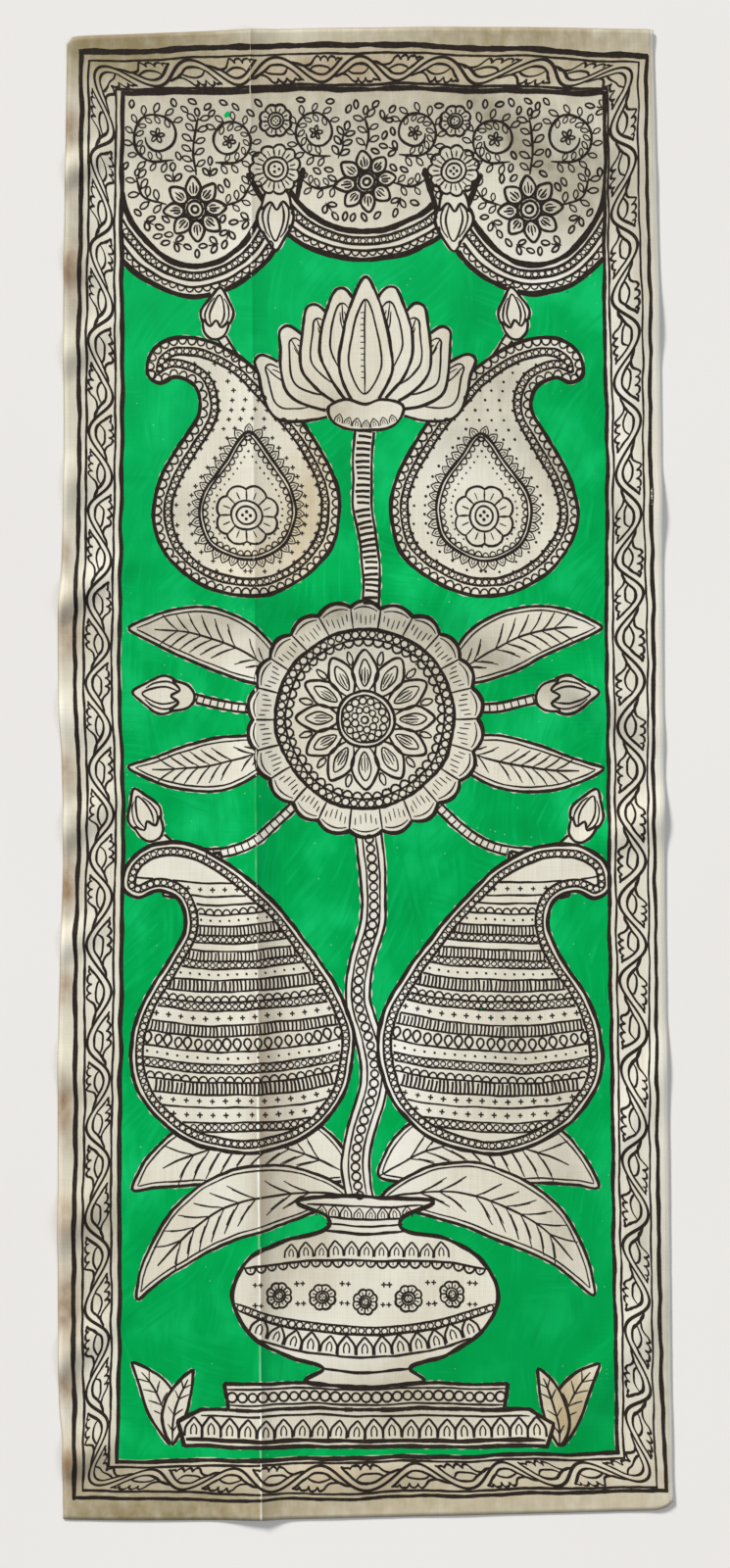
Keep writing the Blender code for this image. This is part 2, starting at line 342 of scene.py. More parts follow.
def handNoise(across, along, seed):
    # smooth unevenness between about -1 and 1, from a few waves that never line up
    waves = random.Random(seed)
    total = 0.0
    for share in (1.0, 0.7, 0.5, 0.35):
        turn, start, rate = waves.uniform(0, 6.28), waves.uniform(0, 6.28), waves.uniform(0.8, 1.5)
        phase = rate / share * (across * math.cos(turn) + along * math.sin(turn)) + start
        total = total + share * np.sin(phase)
    return total / 1.6


def lengthsAlong(points):
    return np.concatenate([[0.0], np.cumsum(np.hypot(*np.diff(points, axis=0).T))])


def pointsAt(points, lengths, places):
    return np.column_stack([np.interp(places, lengths, points[:, axis]) for axis in (0, 1)])


def evenly(points, step, closed=False):
    points = np.asarray(points, float)
    if closed:
        points = np.vstack([points, points[:1]])
    lengths = lengthsAlong(points)
    count = max(int(round(lengths[-1] / step)), 2)
    places = np.linspace(0.0, lengths[-1], count + 1)
    return pointsAt(points, lengths, places[:-1] if closed else places)


def smooth(points, step=1.0, closed=False):
    # a curve through the points, then a point on it every step
    points = np.asarray(points, float)
    if closed:
        guide = np.vstack([points[-1:], points, points[:2]])
    else:
        guide = np.vstack([2 * points[0] - points[1], points, 2 * points[-1] - points[-2]])
    share = np.linspace(0, 1, 14, endpoint=False)[:, None]
    parts = []
    for before, start, end, after in zip(guide, guide[1:], guide[2:], guide[3:]):
        rise = (end - before) * share
        bend = (2 * before - 5 * start + 4 * end - after) * share ** 2
        turn = (3 * start - before - 3 * end + after) * share ** 3
        parts.append(start + 0.5 * (rise + bend + turn))
    if not closed:
        parts.append(points[-1:])
    return evenly(np.vstack(parts), step, closed)


def swayed(points):
    x, y = points[:, 0], points[:, 1]
    size = hand["swaySize"]
    move = [hand["sway"] * handNoise(x / size * 3, y / size * 3, hand["seed"] + axis) for axis in (0, 1)]
    return points + np.column_stack(move)


def shaken(points, seed, closed=False):
    places = np.arange(len(points)) / hand["shakeSize"] * 2.2
    fade = np.ones(len(points))
    if closed:
        edge = min(len(points) // 3, 12)
        fade[:edge] = np.linspace(0, 1, edge)
        fade[-edge:] = np.linspace(1, 0, edge)
    move = [hand["shake"] * fade * handNoise(places, 0 * places, seed * 7 + axis) for axis in (0, 1)]
    return points + np.column_stack(move)


def inside(points, polygon):
    x, y = points[:, :1], points[:, 1:]
    x1, y1 = polygon[:, 0], polygon[:, 1]
    x2, y2 = np.roll(x1, -1), np.roll(y1, -1)
    rise = np.where(y2 == y1, 1e-9, y2 - y1)
    crossings = ((y1 > y) != (y2 > y)) & (x < (x2 - x1) * (y - y1) / rise + x1)
    return crossings.sum(axis=1) % 2 == 1


def runs(points, keep, shortest=3):
    # the stretches of a line that are kept
    found, run = [], []
    for point, isKept in zip([*points, None], [*keep, False]):
        if isKept:
            run.append(point)
            continue
        if len(run) >= shortest:
            found.append(np.array(run))
        run = []
    return found


def trimmed(mark, keep):
    # what is left of a mark where only some of its points are kept
    if keep.all():
        return [mark]
    return [dict(mark, points=part, closed=False) for part in runs(mark["points"], keep)]


def cover(polygon):
    # what lies behind a form in front of it isn't drawn there
    low, high = polygon.min(axis=0), polygon.max(axis=0)
    kept = []
    for mark in drawing:
        points = mark["points"]
        if (points.max(axis=0) < low).any() or (points.min(axis=0) > high).any():
            kept.append(mark)
            continue
        hidden = inside(points, polygon)
        if mark["closed"]:
            first = int(np.argmax(hidden))
            mark = dict(mark, points=np.roll(points, -first, axis=0))
            hidden = np.roll(hidden, -first)
        kept += trimmed(mark, ~hidden)
    drawing[:] = kept


def line(points, width, closed=False, taper=0.45):
    points = shaken(swayed(np.asarray(points, float)), len(drawing) + 1, closed)
    drawing.append({"kind": "line", "points": points, "closed": closed, "width": width, "taper": taper})


def curve(points, width, closed=False, step=1.2):
    line(smooth(points, step, closed), width, closed)


def row(kind, points, spacing, size, closed=False):
    points = swayed(np.asarray(points, float))
    drawing.append({"kind": kind, "points": points, "closed": closed, "spacing": spacing, "size": size})


def form(points, width, onGreen=True):
    # a closed shape that stands in front of what was drawn before it
    outline = shaken(swayed(np.asarray(points, float)), len(drawing) + 1, True)
    cover(outline)
    if onGreen:
        silhouettes.append(outline)
    drawing.append({"kind": "line", "points": outline, "closed": True, "width": width, "taper": 0.0})


def counter(points):
    # turns an outline so that its inside is on its left
    points = np.asarray(points, float)
    x, y = points[:, 0], points[:, 1]
    return points if np.sum(x * np.roll(y, -1) - y * np.roll(x, -1)) > 0 else points[::-1]


def shape(points, width, step=1.2, onGreen=True):
    form(smooth(counter(points), step, True), width, onGreen)


def placed(points, x=0.0, y=0.0, turn=0.0, size=1.0, flip=False):
    points = np.asarray(points, float) * size
    if flip:
        points = points * (-1, 1)
    angle = math.radians(turn)
    rotation = np.array(((math.cos(angle), math.sin(angle)), (-math.sin(angle), math.cos(angle))))
    return points @ rotation + (x, y)


def mirrored(half):
    # a shape that is alike on both sides, from one half that starts or ends on its middle line
    half = np.array(half, float)
    other = half[::-1] * (-1, 1)
    return np.vstack([half, other[other[:, 0] != 0]])


def around(x, y, reach, angles):
    return np.column_stack([x + reach * np.cos(angles), y + reach * np.sin(angles)])


def arc(radius, x=0.0, y=0.0, step=1.0):
    count = max(int(math.radians(360) * radius / step), 6)
    return around(x, y, radius, np.radians(np.linspace(0, 360, count + 1))[:-1])


def ray(x, y, angle, start, end, count, width):
    reaches = np.linspace(start, end, count)
    line([(x + reach * math.cos(angle), y + reach * math.sin(angle)) for reach in reaches], width)


def leftward(points, closed=False):
    # for each point the unit step to the left of its line
    if closed:
        along = np.roll(points, -1, axis=0) - np.roll(points, 1, axis=0)
    else:
        along = np.vstack([points[1:], points[-1:]]) - np.vstack([points[:1], points[:-1]])
    along /= np.maximum(np.hypot(*along.T), 1e-9)[:, None]
    return np.column_stack([-along[:, 1], along[:, 0]])


def beside(points, distance, closed=False):
    # the line at a distance to the left of another
    points = np.asarray(points, float)
    return points + distance * leftward(points, closed)


def inset(outline, distance):
    # lines at a distance inside a closed outline, left out where two sides come too close
    outline = counter(outline)
    moved = beside(outline, distance, True)
    gaps = np.hypot(*(moved[:, None, :] - outline[None, :, :]).transpose(2, 0, 1)).min(axis=1)
    keep = inside(moved, outline) & (gaps > distance * 0.93)
    if keep.all():
        return [np.vstack([moved, moved[:1]])]
    first = int(np.argmin(keep))
    return runs(np.roll(moved, -first, axis=0), np.roll(keep, -first), 4)


# Small marks repeated along a row, for a size of 1: outline, line width (0 for a filled mark), closed.
leafletShape = np.array([
    (0, 0), (0.06, 0.20), (0.02, 0.56), (0.20, 0.90), (0.52, 1.06), (0.60, 0.78), (0.46, 0.42), (0.06, 0.18),
])
dropMark = [(0, 0.05), (-0.3, 0.5), (-0.22, 0.86), (0, 1.0), (0.22, 0.86), (0.3, 0.5), (0, 0.05)]
rowMarks = {
    "bead": [(arc(0.5, step=0.26), 0.23, True)],
    "dot": [(arc(0.5, step=0.5), 0, True)],
    "scallop": [(smooth(mirrored([(-0.5, 0), (-0.38, 0.44), (0, 0.66)]), 0.16), 0.2, False)],
    "petal": [
        (smooth(mirrored([(-0.5, 0), (-0.46, 0.5), (-0.2, 0.86), (0, 1.06)]), 0.16), 0.135, False),
        (smooth(mirrored([(-0.14, 0.1), (-0.16, 0.42), (0, 0.7)]), 0.16), 0.085, False),
    ],
    "tick": [([(0, 0), (0.03, 0.5), (0, 1.0)], 0.2, False)],
    "leaflet": [(smooth(leafletShape, 0.16), 0.15, False)],
    "rightLeaflet": [(smooth(leafletShape * (1, -1), 0.16), 0.15, False)],
    "plus": [
        ([(-0.5, 0), (0, 0.03), (0.5, 0)], 0.28, False),
        ([(0, -0.5), (0.03, 0), (0, 0.5)], 0.28, False),
    ],
    "drop": [(smooth(dropMark, 0.2), 0.17, False)],
}

# The panel inside the border, corners clockwise from the lower left.
panelOutline = np.array([(-126.0, -349.5), (-124.0, 347.0), (121.0, 347.5), (127.5, -346.5)])


def leaf(base, tip, width, bend, veins):
    base, tip = np.array(base, float), np.array(tip, float)
    along = tip - base
    across = np.array([-along[1], along[0]]) / math.hypot(*along)
    last = 14
    share = np.linspace(0, 1, last + 1)
    middle = base + share[:, None] * along + (4 * share * (1 - share) * bend)[:, None] * across
    half = width / 2 * np.sin(np.pi * share ** 0.85) ** 0.8
    left = leftward(middle)
    outline = np.vstack([middle + left * half[:, None], (middle - left * half[:, None])[::-1][1:-1]])
    shape(outline, 1.15)
    isLarge = width > 20
    if isLarge:
        for part in inset(smooth(counter(outline), 1.2, True), 2.3):
            line(part, 0.6, False, 0.3)
    curve(middle[:-2], 0.8, False, 1.5)
    for place in np.linspace(0.2, 0.78, veins):
        i = int(place * last)
        forwards = middle[min(i + 2, last)] - middle[i]
        for side in (1, -1):
            end = middle[i] + side * left[i] * half[i] * 0.66 + forwards * 0.75
            curve([middle[i], (middle[i] + end) / 2 - side * left[i] * half[i] * 0.05, end], 0.6)
            if isLarge:
                shift = (middle[i] - middle[i - 1]) * 0.16
                start, stop = [middle[i] * (1 - part) + end * part + shift for part in (0.22, 0.72)]
                curve([start, (start + stop) / 2, stop], 0.5)


def bud(x, y, turn, size):
    # a closed lotus bud on its calyx, pointing up before its turn
    at = (x, y, turn, size)
    shape(placed(mirrored([(0, 0), (5.6, 3.4), (7.4, 9.5), (3.6, 16.5), (0, 21)]), *at), 1.1, 1.1)
    curve(placed(mirrored([(0, -0.5), (2.4, 4), (3.2, 10), (0, 17.5)]), *at), 0.75, True, 1.1)
    for side in (-1, 1):
        curve(placed([(side * 3.4, 2.5), (side * 5.3, 7), (side * 4.4, 12.5), (side * 2.2, 16)], *at), 0.7)
    calyx = [
        (-5.8, 5.2), (-5.0, -0.5), (-2, -3.6), (2, -3.6), (5.0, -0.5), (5.8, 5.2),
        (2.6, 2.2), (0, 5.4), (-2.6, 2.2),
    ]
    shape(placed(calyx, *at), 1.0, 1.0)


def stem(points, width, ties=True):
    middle = smooth(points, 1.5)
    fromEnd = np.minimum(np.arange(len(middle)), np.arange(len(middle))[::-1])
    left = leftward(middle) * (width / 2 * np.clip(fromEnd / 2.0, 0.5, 1))[:, None]
    form(evenly(counter(np.vstack([middle + left, (middle - left)[::-1]])), 1.4, True), 1.0)
    if ties:
        row("tick", middle[3:-3] - left[3:-3] * 0.8, 3.4, width * 0.8)


def lotus(x, y, width, height):
    # an open lotus seen from the side: back petals first, the middle one last
    for share, side in [(share, side) for share in (1.0, 0.75, 0.5, 0.25) for side in (-1, 1)]:
        lean = side * share
        tip = np.array([lean * width * 0.5, height * (1.0 - 0.62 * share ** 1.7)])
        baseX = lean * width * 0.10
        wide = width * 0.115 * (1.15 - 0.25 * share)
        middle = np.array([(tip[0] + baseX) / 2 + lean * width * 0.045, tip[1] * 0.5 - height * 0.10 * share])
        normal = np.array([-tip[1], tip[0] - baseX])
        normal /= math.hypot(*normal)
        belly, shoulder, narrow = normal * wide * (1, 1.1), tip * (0.93, 0.9), normal * wide * 0.42
        petal = [(baseX, 0), middle + belly, shoulder + narrow, tip, shoulder - narrow, middle - belly]
        petal = np.array(petal) + (x, y)
        shape(petal, 1.15)
        core = (petal - petal.mean(axis=0)) * (0.62, 0.66) + petal.mean(axis=0)
        curve(core, 0.7, True, 1.3)
        curve([core[0], core.mean(axis=0), core[3]], 0.6, False, 1.3)
        tip, down = core[3], core[0] - core[3]
        for corner in (core[2], core[4]):
            lean = (corner - tip) * 0.45
            nick = [tip + lean * 0.7 + down * 0.08, tip + lean + down * 0.2, tip + lean * 0.8 + down * 0.34]
            curve(nick, 0.5, False, 1.0)
    middle = mirrored([(0, -0.02), (0.115, 0.28), (0.095, 0.66), (0, 1.02)]) * (width, height) + (x, y)
    shape(middle, 1.2)
    heart = (x, y + height * 0.42)
    core = (middle - heart) * (0.62, 0.7) + heart
    curve(core, 0.75, True)
    curve([core[0], core[3]], 0.6, False, 1.3)
    row("tick", smooth([core[0] + (0, height * 0.12), core[3] - (0, height * 0.1)]), 3.0, 2.2)
    base = np.array([
        (-0.17, 0.02), (-0.13, -0.12), (0, -0.17), (0.13, -0.12), (0.17, 0.02),
        (0.08, 0.07), (0, 0.03), (-0.08, 0.07),
    ]) * (width, height) + (x, y)
    shape(base, 1.1, 1.1)
    row("petal", smooth([base[1] + (1, 1), base[2] + (0, 1.2), base[3] + (-1, 1)]), 4.4, 4.0)


# A paisley one unit high, and the drop within it.
paisleyShape = [
    (0.355, 0.835), (0.335, 0.915), (0.25, 0.965), (0.13, 0.955), (0.0, 0.88), (-0.13, 0.75), (-0.25, 0.585),
    (-0.33, 0.43), (-0.35, 0.30), (-0.30, 0.14), (-0.17, 0.03), (0, -0.01), (0.18, 0.04), (0.31, 0.16),
    (0.35, 0.31), (0.305, 0.47), (0.22, 0.60), (0.165, 0.70), (0.18, 0.785), (0.245, 0.82), (0.31, 0.80),
]
paisleyDrop = [
    (-0.02, 0.60), (-0.10, 0.50), (-0.16, 0.40), (-0.18, 0.30), (-0.15, 0.20), (-0.08, 0.145), (0, 0.125),
    (0.08, 0.145), (0.15, 0.20), (0.18, 0.30), (0.15, 0.40), (0.07, 0.50),
]
# Its bands from the foot up: kind and thickness, then the marks' spacing and size.
bandPlan = (
    ("bare", 7), ("petal", 8.5, 6.4, 6.6), ("bead", 4.4, 3.6, 3.0), ("plus", 7.5, 6.4, 2.7),
    ("plus", 6.5, 6.4, 2.7), ("tick", 6.5, 2.1, 5.6), ("scallop", 5.2, 4.4, 4.2), ("bead", 4.2, 3.4, 2.8),
    ("dot", 6.5, 5.0, 1.4), ("drop", 8.0, 5.2, 6.2), ("tick", 5.6, 2.0, 4.8), ("plus", 7.5, 6.2, 2.6),
    ("bead", 4.2, 3.4, 2.8), ("scallop", 5.2, 4.4, 4.2), ("tick", 6.0, 2.0, 5.2), ("dot", 6.0, 4.6, 1.3),
    ("bead", 4.0, 3.2, 2.7), ("tick", 5.0, 1.9, 4.3), ("bare", 4), ("bead", 4.0, 3.2, 2.7),
    ("tick", 5.0, 1.9, 4.3), ("dot", 6.0, 4.6, 1.3), ("scallop", 5.0, 4.2, 4.0), ("bare", 4),
    ("plus", 6.5, 6.0, 2.5),
)
# How far down its band a mark starts, as a share of the thickness; the others stand in the middle.
bandFoot = {"tick": 0.93, "scallop": 0.96, "petal": 0.96, "drop": 0.96}


def crossBands(outline, x, y, turn):
    # bands across a paisley, each with its own filling
    height, reach = 0.0, 90.0
    across = np.arange(-reach, reach, 0.6)
    sag = -6.0 * np.cos(across / reach * math.pi / 2 * 1.6)

    def level(down):
        return placed(np.column_stack([across, sag + height - down]), x, y, turn)

    for kind, thickness, *sizes in bandPlan:
        height += thickness
        upper = level(0)
        for part in runs(upper, inside(upper, outline), 5):
            line(evenly(part, 1.2), 0.75, False, 0)
        if kind == "bare":
            continue
        middle = level(thickness * bandFoot.get(kind, 0.5))
        for part in runs(middle, inside(middle, outline), 8):
            row(kind, evenly(part[2:-2], 1.0), *sizes)


def innerBorder(outline, plan):
    # lines and rows that follow an outline inwards: kind, distance, then width or spacing and size
    for kind, distance, *sizes in plan:
        for part in inset(outline, distance):
            if kind == "line":
                line(part, sizes[0], False, 0)
            else:
                row(kind, part, *sizes)


def field(outer, inner, kind, spacing, size):
    # marks in staggered rows between two outlines
    low, high = outer.min(axis=0), outer.max(axis=0)
    grown = beside(counter(inner), -5.6, True)
    count = 0
    y = low[1] + spacing * 0.6
    while y < high[1]:
        xs = np.arange(low[0] + (count % 2) * spacing / 2, high[0], 0.5)
        points = np.column_stack([xs, np.full(len(xs), y)])
        free = inside(points, outer) & ~inside(points, grown)
        for part in runs(points, free, int(spacing * 0.9 / 0.5) + 1):
            row(kind, part, spacing, size)
        y += spacing * 0.86
        count += 1


def rosette(x, y, radius, petals, onGreen=True, front=True):
    angles = np.linspace(0, 2 * math.pi, petals * 9, endpoint=False)
    lobes = radius * (0.86 + 0.14 * np.abs(np.sin(angles * petals / 2)) ** 0.7)
    outline = evenly(around(x, y, lobes, angles), 1.0, True)
    if front:
        form(outline, 1.0, onGreen)
    else:
        line(outline, 0.85, True)
    for i in range(petals):
        angle = 2 * math.pi * i / petals
        ray(x, y, angle, radius * 0.5, radius * 0.86, 5, 0.75)
        ray(x, y, angle + math.pi / petals, radius * 0.56, radius * 0.8, 4, 0.6)
    for share in (0.48, 0.3):
        line(arc(radius * share, x, y), 0.8, True)
    row("dot", arc(radius * 0.12, x, y, 0.4), radius * 0.25, max(radius * 0.12, 0.9), True)


def paisley(x, y, height, turn, flip, filling):
    at = (x, y, turn, height, flip)
    outline = counter(smooth(placed(paisleyShape, *at), 1.2, True))
    form(outline, 1.5)
    if filling == "bands":
        innerBorder(outline, (("line", 2.6, 0.75), ("bead", 4.4, 3.5, 2.9), ("line", 6.2, 0.9)))
        crossBands(max(inset(outline, 6.6), key=len), x, y, turn)
        return
    rim = (("scallop", 1.0, 4.6, 4.2), ("line", 5.2, 0.8), ("bead", 7.0, 3.5, 2.9), ("line", 8.8, 0.9))
    innerBorder(outline, rim)
    drop = counter(smooth(placed(paisleyDrop, *at), 1.2, True))
    field(max(inset(outline, 9.4), key=len), drop, filling, 5.6, {"plus": 2.2, "dot": 1.5}[filling])
    line(drop, 1.1, True)
    row("petal", drop[::-1], 4.6, 4.4, True)
    innerBorder(drop, (("line", 1.8, 0.7), ("scallop", 2.2, 3.8, 3.2), ("dot", 7.2, 3.4, 1.1)))
    focusX, focusY = placed([(0, 0.31)], *at)[0]
    rosette(focusX, focusY - height * 0.02, height * 0.115, 8, front=False)


# Short strokes in each lobe of the medallion's rim: angle from its middle, start and end in mm.
rimRays = (
    (-0.095, 50.5, 54.0), (-0.05, 48.6, 53.2), (0, 47.8, 52.6), (0.05, 48.6, 53.2), (0.095, 50.5, 54.0),
)


def medallion(x, y):
    # a large round flower: a lobed rim, petals and a beaded disc
    lobeCount, petalCount = 22, 12
    angles = np.linspace(0, 2 * math.pi, 400, endpoint=False)
    lobes = 57 + 3.2 * np.abs(np.sin(angles * lobeCount / 2)) ** 0.8
    form(evenly(around(x, y, lobes, angles), 1.1, True), 1.5)
    share = np.linspace(0.10, 0.90, 7)
    for i in range(lobeCount):
        angle = 2 * math.pi * i / lobeCount
        ray(x, y, angle, 46, 57, 6, 0.9)
        for off, start, end in rimRays:
            ray(x, y, angle + math.pi / lobeCount + off, start, end, 4, 0.5)
        bow = 54.8 + 2.4 * np.sin(math.pi * share) ** 0.8
        line(around(x, y, bow, angle + share * 2 * math.pi / lobeCount), 0.6)
    line(arc(45.5, x, y), 1.3, True)
    line(arc(40.5, x, y), 0.8, True)
    row("bead", arc(43, x, y), 4.3, 3.7, True)
    row("scallop", arc(40.5, x, y), 5.2, 5.0, True)
    for i in range(petalCount):
        petalAt, dropAt = [(x, y, 360 / petalCount * (i + shift)) for shift in (0, 0.5)]
        curve(placed(mirrored([(0, 13.5), (5.6, 20), (6.2, 27), (0, 35.5)]), *petalAt), 1.0, True, 1.0)
        curve(placed(mirrored([(0, 17), (2.6, 22), (2.7, 26.5), (0, 31)]), *petalAt), 0.65, True, 1.0)
        line(placed([(0, 18.5), (0, 23), (0, 27)], *petalAt), 0.6)
        for side in (-1, 1):
            line(placed([(side * 1.1, 20), (side * 1.7, 23), (side * 1.2, 26)], *petalAt), 0.5)
        curve(placed(mirrored([(0, 28.6), (1.5, 31.6), (0, 35.4)]), *dropAt), 0.65, True, 0.8)
        row("dot", placed([(-1.6, 37.4), (0, 37.9), (1.6, 37.4)], *dropAt), 1.6, 0.9)
    form(arc(14.5, x, y), 1.2, False)
    line(arc(12.2, x, y), 0.8, True)
    for radius, spacing, size in ((9.6, 4.3, 3.6), (5.3, 4.1, 3.5), (0.1, 10, 3.6)):
        row("bead", arc(radius, x, y), spacing, size, True)


dropLeaf = mirrored([(0, 0.14), (0.22, 0.46), (0.20, 0.80), (0, 1.04)])


def spray(points, size=5.4, spacing=5.0):
    # a stalk with leaves on both sides and one at its tip
    path = smooth(points, 1.1)
    line(path, 0.95)
    row("leaflet", path[2:-2], spacing, size)
    row("rightLeaflet", path[4:-1], spacing, size)
    (x, y), (beforeX, beforeY) = path[-1], path[-3]
    turn = math.degrees(math.atan2(x - beforeX, y - beforeY))
    curve(placed(dropLeaf, x, y, turn, size * 0.9), 0.75, True, 0.7)


def spiral(x, y, radius, way):
    # a scroll that winds inwards, with leaves on both sides and a little flower at its heart
    start = 270 - 8 * way
    angles = np.linspace(0, 1.3 * 360, 60)
    reach = radius * (1 - 0.56 * (angles / angles[-1]) ** 1.2)
    path = around(x, y, reach, np.radians(start + way * angles))
    first = path[1] - path[0]
    tail = path[0] - first / np.hypot(*first) * 6.0
    path = smooth(np.vstack([tail, path[::3]]), 1.1)
    line(path, 1.0)
    outer, inner = ("rightLeaflet", "leaflet")[::way]
    row(outer, path[3:int(len(path) * 0.66)], 5.0, 5.0)
    row(inner, path[5:int(len(path) * 0.60)], 5.0, 4.4)
    for i in range(5):
        curve(placed(dropLeaf, x, y, 72 * i + start, 3.6), 0.65, True, 0.6)


def blossom(x, y, radius):
    # an open flower with eight pointed petals round a ringed disc
    for i in range(8):
        at = (x, y, 45 * i + 6, radius)
        curve(placed(mirrored([(0, 0.36), (0.2, 0.52), (0.235, 0.76), (0, 1.04)]), *at), 1.05, True, 1.0)
        line(placed([(0, 0.50), (0.012, 0.66), (0, 0.84)], *at), 0.85)
        for side in (-1, 1):
            line(placed([(side * 0.06, 0.50), (side * 0.11, 0.62), (side * 0.09, 0.74)], *at), 0.75)
    for share in (0.38, 0.27, 0.12):
        line(arc(radius * share, x, y, 0.8), 1.0, True)


def sprig(length, pairs, size):
    # a bent stalk from the origin upwards with pairs of drop-shaped leaves and one at its tip
    stalk = np.array([(0, 0), (0.05, 0.4), (-0.02, 0.75), (0.03, 1)]) * length
    shapes = [(smooth(stalk, 0.7), False)] if length else []
    places = [(length, 0.0)]
    for i in range(pairs):
        place = length * (0.10 + 0.72 * i / max(pairs - 1, 1))
        places += [(place, -48.0), (place, 48.0)]
    leaves = [placed(dropLeaf, 0.0, place, lean, size) for place, lean in places]
    return shapes + [(smooth(points, 0.7, True), True) for points in leaves]


# Sprigs that fill what the scrolls leave free: tries, then each one's length, pairs of leaves and leaf size.
sprigPlan = ((900, 14.0, 3, 5.6), (900, 9.5, 2, 5.2), (1500, 5.0, 1, 5.0), (1800, 0.0, 0, 5.0))


def fillGaps(room, middle, low, high):
    # sprigs that grow away from the flower wherever there is room, the large ones first
    cell = 0.5
    left, right = room[:, 0].min(), room[:, 0].max()
    corner = (left, low - 6)
    taken = np.zeros((int((right - left) / cell) + 12, int((high - low) / cell) + 32), bool)
    disc = [(i, j) for i in range(-2, 3) for j in range(-2, 3) if math.hypot(i, j) < 2.5]

    def cells(points):
        places = np.floor((points - corner) / cell).astype(int)
        within = (places >= 3).all(axis=1) & (places < np.array(taken.shape) - 3).all(axis=1)
        return places[within], within.all()

    def take(points):
        places = cells(points)[0]
        for i, j in disc:
            taken[places[:, 0] + i, places[:, 1] + j] = True

    for mark in drawing:
        take(mark["points"])
        if "size" in mark and mark["kind"] != "dot":
            for side in {"leaflet": (1,), "rightLeaflet": (-1,)}.get(mark["kind"], (-1, 1)):
                for share in (0.35, 0.65, 0.95):
                    take(beside(mark["points"], side * mark["size"] * share))
    take(evenly(room, 0.4, True))
    chance = random.Random(5)
    for tries, length, pairs, size in sprigPlan:
        shapes = sprig(length, pairs, size)
        for _ in range(tries):
            spot = np.array([chance.uniform(left, right), chance.uniform(low, high)])
            turn = math.degrees(math.atan2(*(spot - middle))) + chance.uniform(-60, 60)
            if taken[tuple(np.floor((spot - corner) / cell).astype(int))]:
                continue
            moved = [(placed(points, *spot, turn), closed) for points, closed in shapes]
            whole = np.vstack([points for points, closed in moved])
            places, isWithin = cells(whole)
            if not isWithin or taken[places[:, 0], places[:, 1]].any() or not inside(whole, room).all():
                continue
            for points, closed in moved:
                line(points, 0.75, closed)
                take(points)


swagTops = (
    [(-127, 316), (-121, 287), (-106, 266), (-87, 259), (-68, 266), (-54, 285), (-46, 312)],
    [(-46, 312), (-35, 292), (-19, 281), (0, 277), (19, 281), (35, 292), (45, 312)],
    [(45, 312), (53, 286), (67, 267), (85, 260), (104, 267), (119, 287), (125, 316)],
)


def canopy():
    # flowers and leaf scrolls above three hanging swags
    for side, shift in ((-1, 0.0), (1, -3.0)):
        middle = side * 87 + shift
        blossom(middle, 288, 16)
        spiral(middle + side * 19, 325, 13.0, side)
        spiral(middle - side * 18, 323, 12.0, -side)
        spray([(middle, 305), (middle + side * 1.5, 318), (middle - side, 334)])
        spray([(middle + side * 15, 290), (middle + side * 26, 294), (middle + side * 29.5, 304)])
        spray([(middle - side * 15, 290), (middle - side * 24, 293), (middle - side * 29, 302)], 4.8, 4.6)
        rosette(side * 46, 333, 8.0, 8, onGreen=False)
        spiral(side * 25, 327, 12.0, side)
        spray([(side * 14, 301), (side * 24, 299), (side * 33, 304)], 4.8, 4.6)
    blossom(0, 302, 15)
    spray([(0, 318), (1.2, 326), (-0.6, 336)])
    for points, middle in zip(swagTops, ((-87, 288), (0, 302), (84, 288))):
        top = smooth(points, 1.5)
        room = np.vstack([top + (0, 1.8), [(top[-1, 0] - 1.5, 345.5), (top[0, 0] + 4.5, 345.5)]])
        fillGaps(room, middle, room[:, 1].min(), 346)


def swag(points):
    top = smooth(points, 1.2)
    low = beside(top, -15.5)
    above = np.vstack([low, [(low[-1, 0] + 2, 352), (low[0, 0] - 2, 352)]])
    silhouettes.append(swayed(evenly(counter(above), 1.5, True)))
    form(evenly(counter(np.vstack([top, low[::-1]])), 1.3, True), 1.5, False)
    line(beside(top, -0.4), 2.1, False, 0)
    line(beside(top, -3.6), 1.0, False, 0)
    row("bead", beside(top, -5.4)[2:-2], 3.4, 2.8)
    line(beside(top, -7.3), 1.0, False, 0)
    line(beside(top, -10.6), 1.0, False, 0)
    row("scallop", beside(top, -10.7)[1:-1][::-1], 4.2, 4.0)
    line(beside(top, -15.2), 2.0, False, 0)


# What crosses the vase, each by its left half: kind, points, then width or spacing and size.
potBands = (
    ("line", [(-22, -303.5), (0, -305)], 1.1),
    ("line", [(-57, -287), (-30, -295), (0, -297.5)], 0.9),
    ("petal", [(-55, -286), (-30, -294), (0, -296.5)], 9.0, 8.6),
    ("line", [(-64.5, -274), (-34, -283), (0, -286)], 1.0),
    ("line", [(-66.5, -270), (-34, -279), (0, -282)], 0.8),
    ("bead", [(-64, -272.2), (-34, -281), (0, -284)], 3.9, 3.2),
)
neckBands = (
    ("line", [(-21, -233), (0, -235)], 1.1), ("line", [(-19.5, -229.5), (0, -231)], 0.8),
    ("line", [(-20, -226), (0, -227.5)], 0.9), ("line", [(-30, -219.5), (0, -221)], 0.8),
    ("petal", [(-22, -225.6), (0, -227)], 6.0, 5.2),
)


def drawBands(bands):
    for kind, half, *sizes in bands:
        if kind == "line":
            curve(mirrored(half), *sizes)
        else:
            row(kind, smooth(mirrored(half)), *sizes)


def straight(half, y, step=1.5):
    return evenly([(-half, y), (half, y)], step)


